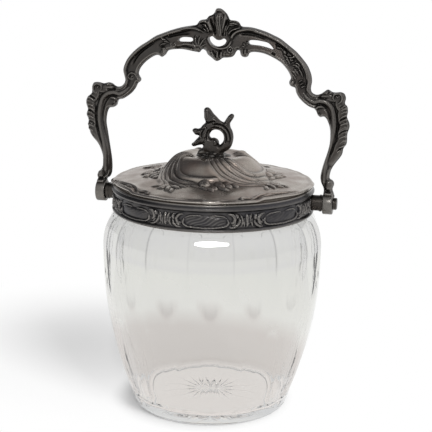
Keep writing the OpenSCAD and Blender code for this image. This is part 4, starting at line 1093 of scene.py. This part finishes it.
def make_glass():
    outside = wall_line((FOOT_R, WALL_FROM_Z), (JAR_R, BELLY_Z), NECK_R, SHOULDER_H, 84, 20)
    in_foot_r, in_foot_z = FOOT_R - 0.2, FLOOR + CORNER_R
    inside = wall_line((in_foot_r, in_foot_z), (JAR_R - WALL, BELLY_Z), NECK_R - WALL, SHOULDER_H - 1.4,
                       30, 12)
    corner_in = [(in_foot_r - CORNER_R * (1 - math.cos(a)), in_foot_z - CORNER_R * math.sin(a))
                 for a in np.radians([20, 40, 60, 78, 90])]
    base = [(r, RECESS_H) for r in np.linspace(0, RECESS_R, 34)]
    foot = [(RECESS_R + 0.8, 0.15), (RECESS_R + 1.4, 0), (REST_R, 0), (REST_R + 1.2, 0.4),
            (FOOT_R - 0.5, 1.6)]
    rim = [(NECK_R, GLASS_TOP - 1), (NECK_R - 0.4, GLASS_TOP - 0.2), (NECK_R - 1, GLASS_TOP),
           (NECK_R - WALL + 1, GLASS_TOP), (NECK_R - WALL + 0.3, GLASS_TOP - 0.3),
           (NECK_R - WALL, GLASS_TOP - 1)]
    floor_in = [(r, FLOOR) for r in (34.0, 24, 14, 5, 0)]
    line = np.concatenate([base, foot, outside, rim, inside[::-1], corner_in, floor_in])
    piece = spun("cut_glass_jar", line, GLASS_STEPS, closed=False)
    co = coords_of(piece)
    r, a = around(co)
    z = co[:, 2].copy()
    order = np.argsort(outside[:, 1])
    wall_r = np.interp(z, outside[order, 1], outside[order, 0])
    on_wall = (np.abs(r - wall_r) < 0.25) & (z >= WALL_FROM_Z) & (z <= BELLY_Z + SHOULDER_H + 0.01)
    star = star_depth(co)
    co[:, :2] *= np.where(r > 1e-6, cut_wall(co, wall_r, on_wall) / np.maximum(r, 1e-6), 1)[:, None]
    co[:, 2] += star
    set_coords(piece, co)
    # the kept value "ground" is the painted shade where the cuts refract darkly, also used as roughness
    attribute = piece.data.attributes.new("ground", "FLOAT", "POINT")
    attribute.data.foreach_set("value", np.clip(np.where(on_wall, painted_shade_and_rough(r, a, z), 0), 0, 1))
    smooth_shaded(piece, 16)
    finish(piece, glass, "jar", "glass_jar")


for make in (make_lid, make_collar, make_bail, make_finial, make_glass):
    make()

for material, names in ((turned_metal, ("left_trunnion", "right_trunnion", "left_washer", "right_washer",
                                        "left_rivet", "right_screw")),
                        (bezel_metal, ("lid_bezel",)), (plaster, ("plaster_bed",)),
                        (brass, ("finial_stud", "finial_washer", "finial_nut"))):
    for name in names:
        for part_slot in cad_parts[name].material_slots:
            part_slot.material = material

# ---- Floor, light and camera ----
bpy.ops.mesh.primitive_plane_add(size=12, location=(0, 0, 0))
floor = bpy.context.object
floor.name = "floor"
floor_paint, floor_tree, floor_shader = fresh("pale_floor")
put(floor_tree, floor_shader, Base_Color=(0.9, 0.9, 0.9, 1), Roughness=0.9, Specular_IOR_Level=0.0)
floor_path = node(floor_tree, "ShaderNodeLightPath").outputs


def growing(tree, value, start, end, kind="SMOOTHSTEP"):
    """Share that grows from nothing to one while a value goes from start to end."""
    n = node(tree, "ShaderNodeMapRange", {"interpolation_type": kind}, Value=value, From_Min=start,
             From_Max=end)
    return n.outputs[0]


def floor_distance(at):
    """Distance from a place on the floor."""
    moved = node(floor_tree, "ShaderNodeMapping", Vector=object_place(floor_tree),
                 Location=(-at[0], -at[1], 0))
    length = node(floor_tree, "ShaderNodeVectorMath", {"operation": "LENGTH"}, Vector=moved.outputs[0])
    return length.outputs["Value"]


def floor_math(operation, first, second):
    n = node(floor_tree, "ShaderNodeMath", {"operation": operation, "use_clamp": True})
    for socket, value in zip(n.inputs, (first, second)):
        if isinstance(value, float):
            socket.default_value = value
        else:
            floor_tree.links.new(value, socket)
    return n.outputs[0]


# The floor runs out into white away from the jar and its shadow, as a lit paper sweep does. Seen through
# the glass it shows painted light and shade: a warm grey under the jar stands for light come through the
# glass, a painted shadow lies just beyond it, and it is paler farther off, up to FAR.
FAR, THROUGH_WHITE = 0.4, 0.88
away = floor_math("MULTIPLY", growing(floor_tree, floor_distance((-0.12, 0.075)), 0.0, 0.16),
                  growing(floor_tree, floor_distance((-0.006, 0)), 0.045, 0.062))
away = ramp(floor_tree, away, (0.0, 0.2), (1.0, 1))
# painted shadow of the jar, with painted light under it, on the floor as seen through the glass
through = ramp(floor_tree, growing(floor_tree, floor_distance((-0.03, 0.02)), 0.0, FAR, "LINEAR"),
               (0.08 / FAR, (0.615, 0.57, 0.543)), (0.118 / FAR, (0.63, 0.583, 0.556)),
               (0.165 / FAR, (0.785, 0.773, 0.742)), (0.23 / FAR, (0.755, 0.75, 0.714)),
               (0.3 / FAR, (0.72, 0.712, 0.695)), (0.38 / FAR, (0.692, 0.684, 0.68)))
through = mix(floor_tree, (0.825, 0.768, 0.735), through,
              growing(floor_tree, floor_distance((0, 0)), 0.04, 0.06))
floor_white = node(floor_tree, "ShaderNodeEmission", Strength=1.0,
                   Color=mix(floor_tree, (1.0, 1.0, 1.0), through, floor_path["Is Transmission Ray"]))
# seen through the glass the floor is mostly that painted light and shadow, not its own shading
white_through = floor_math("MULTIPLY", floor_path["Is Transmission Ray"], THROUGH_WHITE)
floor_pale = floor_math("MAXIMUM", away, white_through)
floor_pale = floor_math("MULTIPLY", floor_pale, floor_math("SUBTRACT", 1.0, floor_path["Is Diffuse Ray"]))
floor_mix = node(floor_tree, "ShaderNodeMixShader", Fac=floor_pale)
floor_tree.links.new(floor_shader.outputs[0], floor_mix.inputs[1])
floor_tree.links.new(floor_white.outputs[0], floor_mix.inputs[2])
put(floor_tree, floor_tree.nodes["Material Output"], Surface=floor_mix.outputs[0])
floor.data.materials.append(floor_paint)

world = bpy.data.worlds.new("studio")
scene.world = world
world.use_nodes = True
sky = world.node_tree
direction = node(sky, "ShaderNodeTexCoord").outputs["Generated"]
sky_path = node(sky, "ShaderNodeLightPath").outputs


def toward(axis, start, end):
    """How far a direction points towards an axis: 0 below the first cosine and 1 above the second."""
    dot = node(sky, "ShaderNodeVectorMath", {"operation": "DOT_PRODUCT"}, Vector=direction)
    dot.inputs[1].default_value = Vector(axis).normalized()
    return growing(sky, dot.outputs["Value"], start, end)


def shade(colour, strength=1.0):
    return node(sky, "ShaderNodeBackground", Color=colour, Strength=strength).outputs[0]


def choose(first, second, factor):
    n = node(sky, "ShaderNodeMixShader")
    for socket, source in zip(n.inputs, (factor, first, second)):
        sky.links.new(source, socket)
    return n.outputs[0]


# metal sees white paper behind and below, a dim room above, a large pale screen on the right and a small
# one at the front; glass sees a pale grey all round, and everything is lit by plain white
room = mix(sky, (0.13, 0.135, 0.15), (1.0, 1.0, 1.0), toward((0.1, 1.0, -0.25), 0.2, 0.9))
room = mix(sky, room, (0.95, 0.95, 0.97), toward((0.85, 0.1, 0.75), 0.6, 0.9))
room = mix(sky, room, (0.8, 0.8, 0.8), toward((-0.3, -0.9, 0.5), 0.55, 0.95))
pale = mix(sky, (0.58, 0.585, 0.6), (0.7, 0.7, 0.695), toward((0.0, 0.9, -0.4), 0.0, 0.95))
light = choose(shade((1, 1, 1, 1), 0.38), shade(room), sky_path["Is Glossy Ray"])
light = choose(light, shade(pale), sky_path["Is Transmission Ray"])
light = choose(light, shade((1, 1, 1, 1)), sky_path["Is Camera Ray"])
put(sky, sky.nodes["World Output"], Surface=light)
sky.nodes.remove(sky.nodes["Background"])


def lamp(name, at, aim, size, power, size_y=None):
    """A square or oval lamp aimed at a place, unseen through the glass."""
    data = bpy.data.lights.new(name, "AREA")
    data.energy = power
    data.size = size
    if size_y:
        data.shape = "ELLIPSE"
        data.size_y = size_y
    piece = bpy.data.objects.new(name, data)
    piece.location = at
    piece.rotation_euler = (Vector(aim) - Vector(at)).to_track_quat("-Z", "Y").to_euler()
    scene.collection.objects.link(piece)
    piece.visible_transmission = False
    return piece


# of the three, only the softbox shows as a highlight on metal and glass
lamp("key_light", (0.75, -0.85, 1.05), (0, 0, 0.1), 0.5, 14.0).visible_glossy = False
lamp("top_light", (-0.1, 0.1, 1.5), (0, 0, 0.1), 1.1, 6.0).visible_glossy = False
lamp("front_softbox", (0.176, -0.955, 0.83), (0, 0, 0.12), 0.056, 2.2, 0.34)

CAMERA_AT = (0.1484, -0.7070, 0.3007)
CAMERA_TURN, CAMERA_TILT, CAMERA_ROLL = (math.radians(v) for v in (11.69, 13.83, 0.82))
camera_data = bpy.data.cameras.new("camera")
camera_data.lens = 96.98
camera_data.sensor_width = 36
camera = bpy.data.objects.new("camera", camera_data)
right = Vector((math.cos(CAMERA_TURN), math.sin(CAMERA_TURN), 0))
back = Vector((math.sin(CAMERA_TURN) * math.cos(CAMERA_TILT), -math.cos(CAMERA_TURN) * math.cos(CAMERA_TILT),
               math.sin(CAMERA_TILT)))
up = back.cross(right)
rolled_right = right * math.cos(CAMERA_ROLL) + up * math.sin(CAMERA_ROLL)
rolled_up = up * math.cos(CAMERA_ROLL) - right * math.sin(CAMERA_ROLL)
turn = Matrix((rolled_right, rolled_up, back)).transposed().to_4x4()
camera.matrix_world = Matrix.Translation(CAMERA_AT) @ turn
scene.collection.objects.link(camera)
scene.camera = camera
scene.view_settings.view_transform = "Standard"
# light that runs along inside the glass wall needs many bounces to come out again
BOUNCES = 28
scene.cycles.max_bounces = BOUNCES
scene.cycles.transmission_bounces = BOUNCES
scene.cycles.glossy_bounces = BOUNCES

bpy.context.view_layer.update()
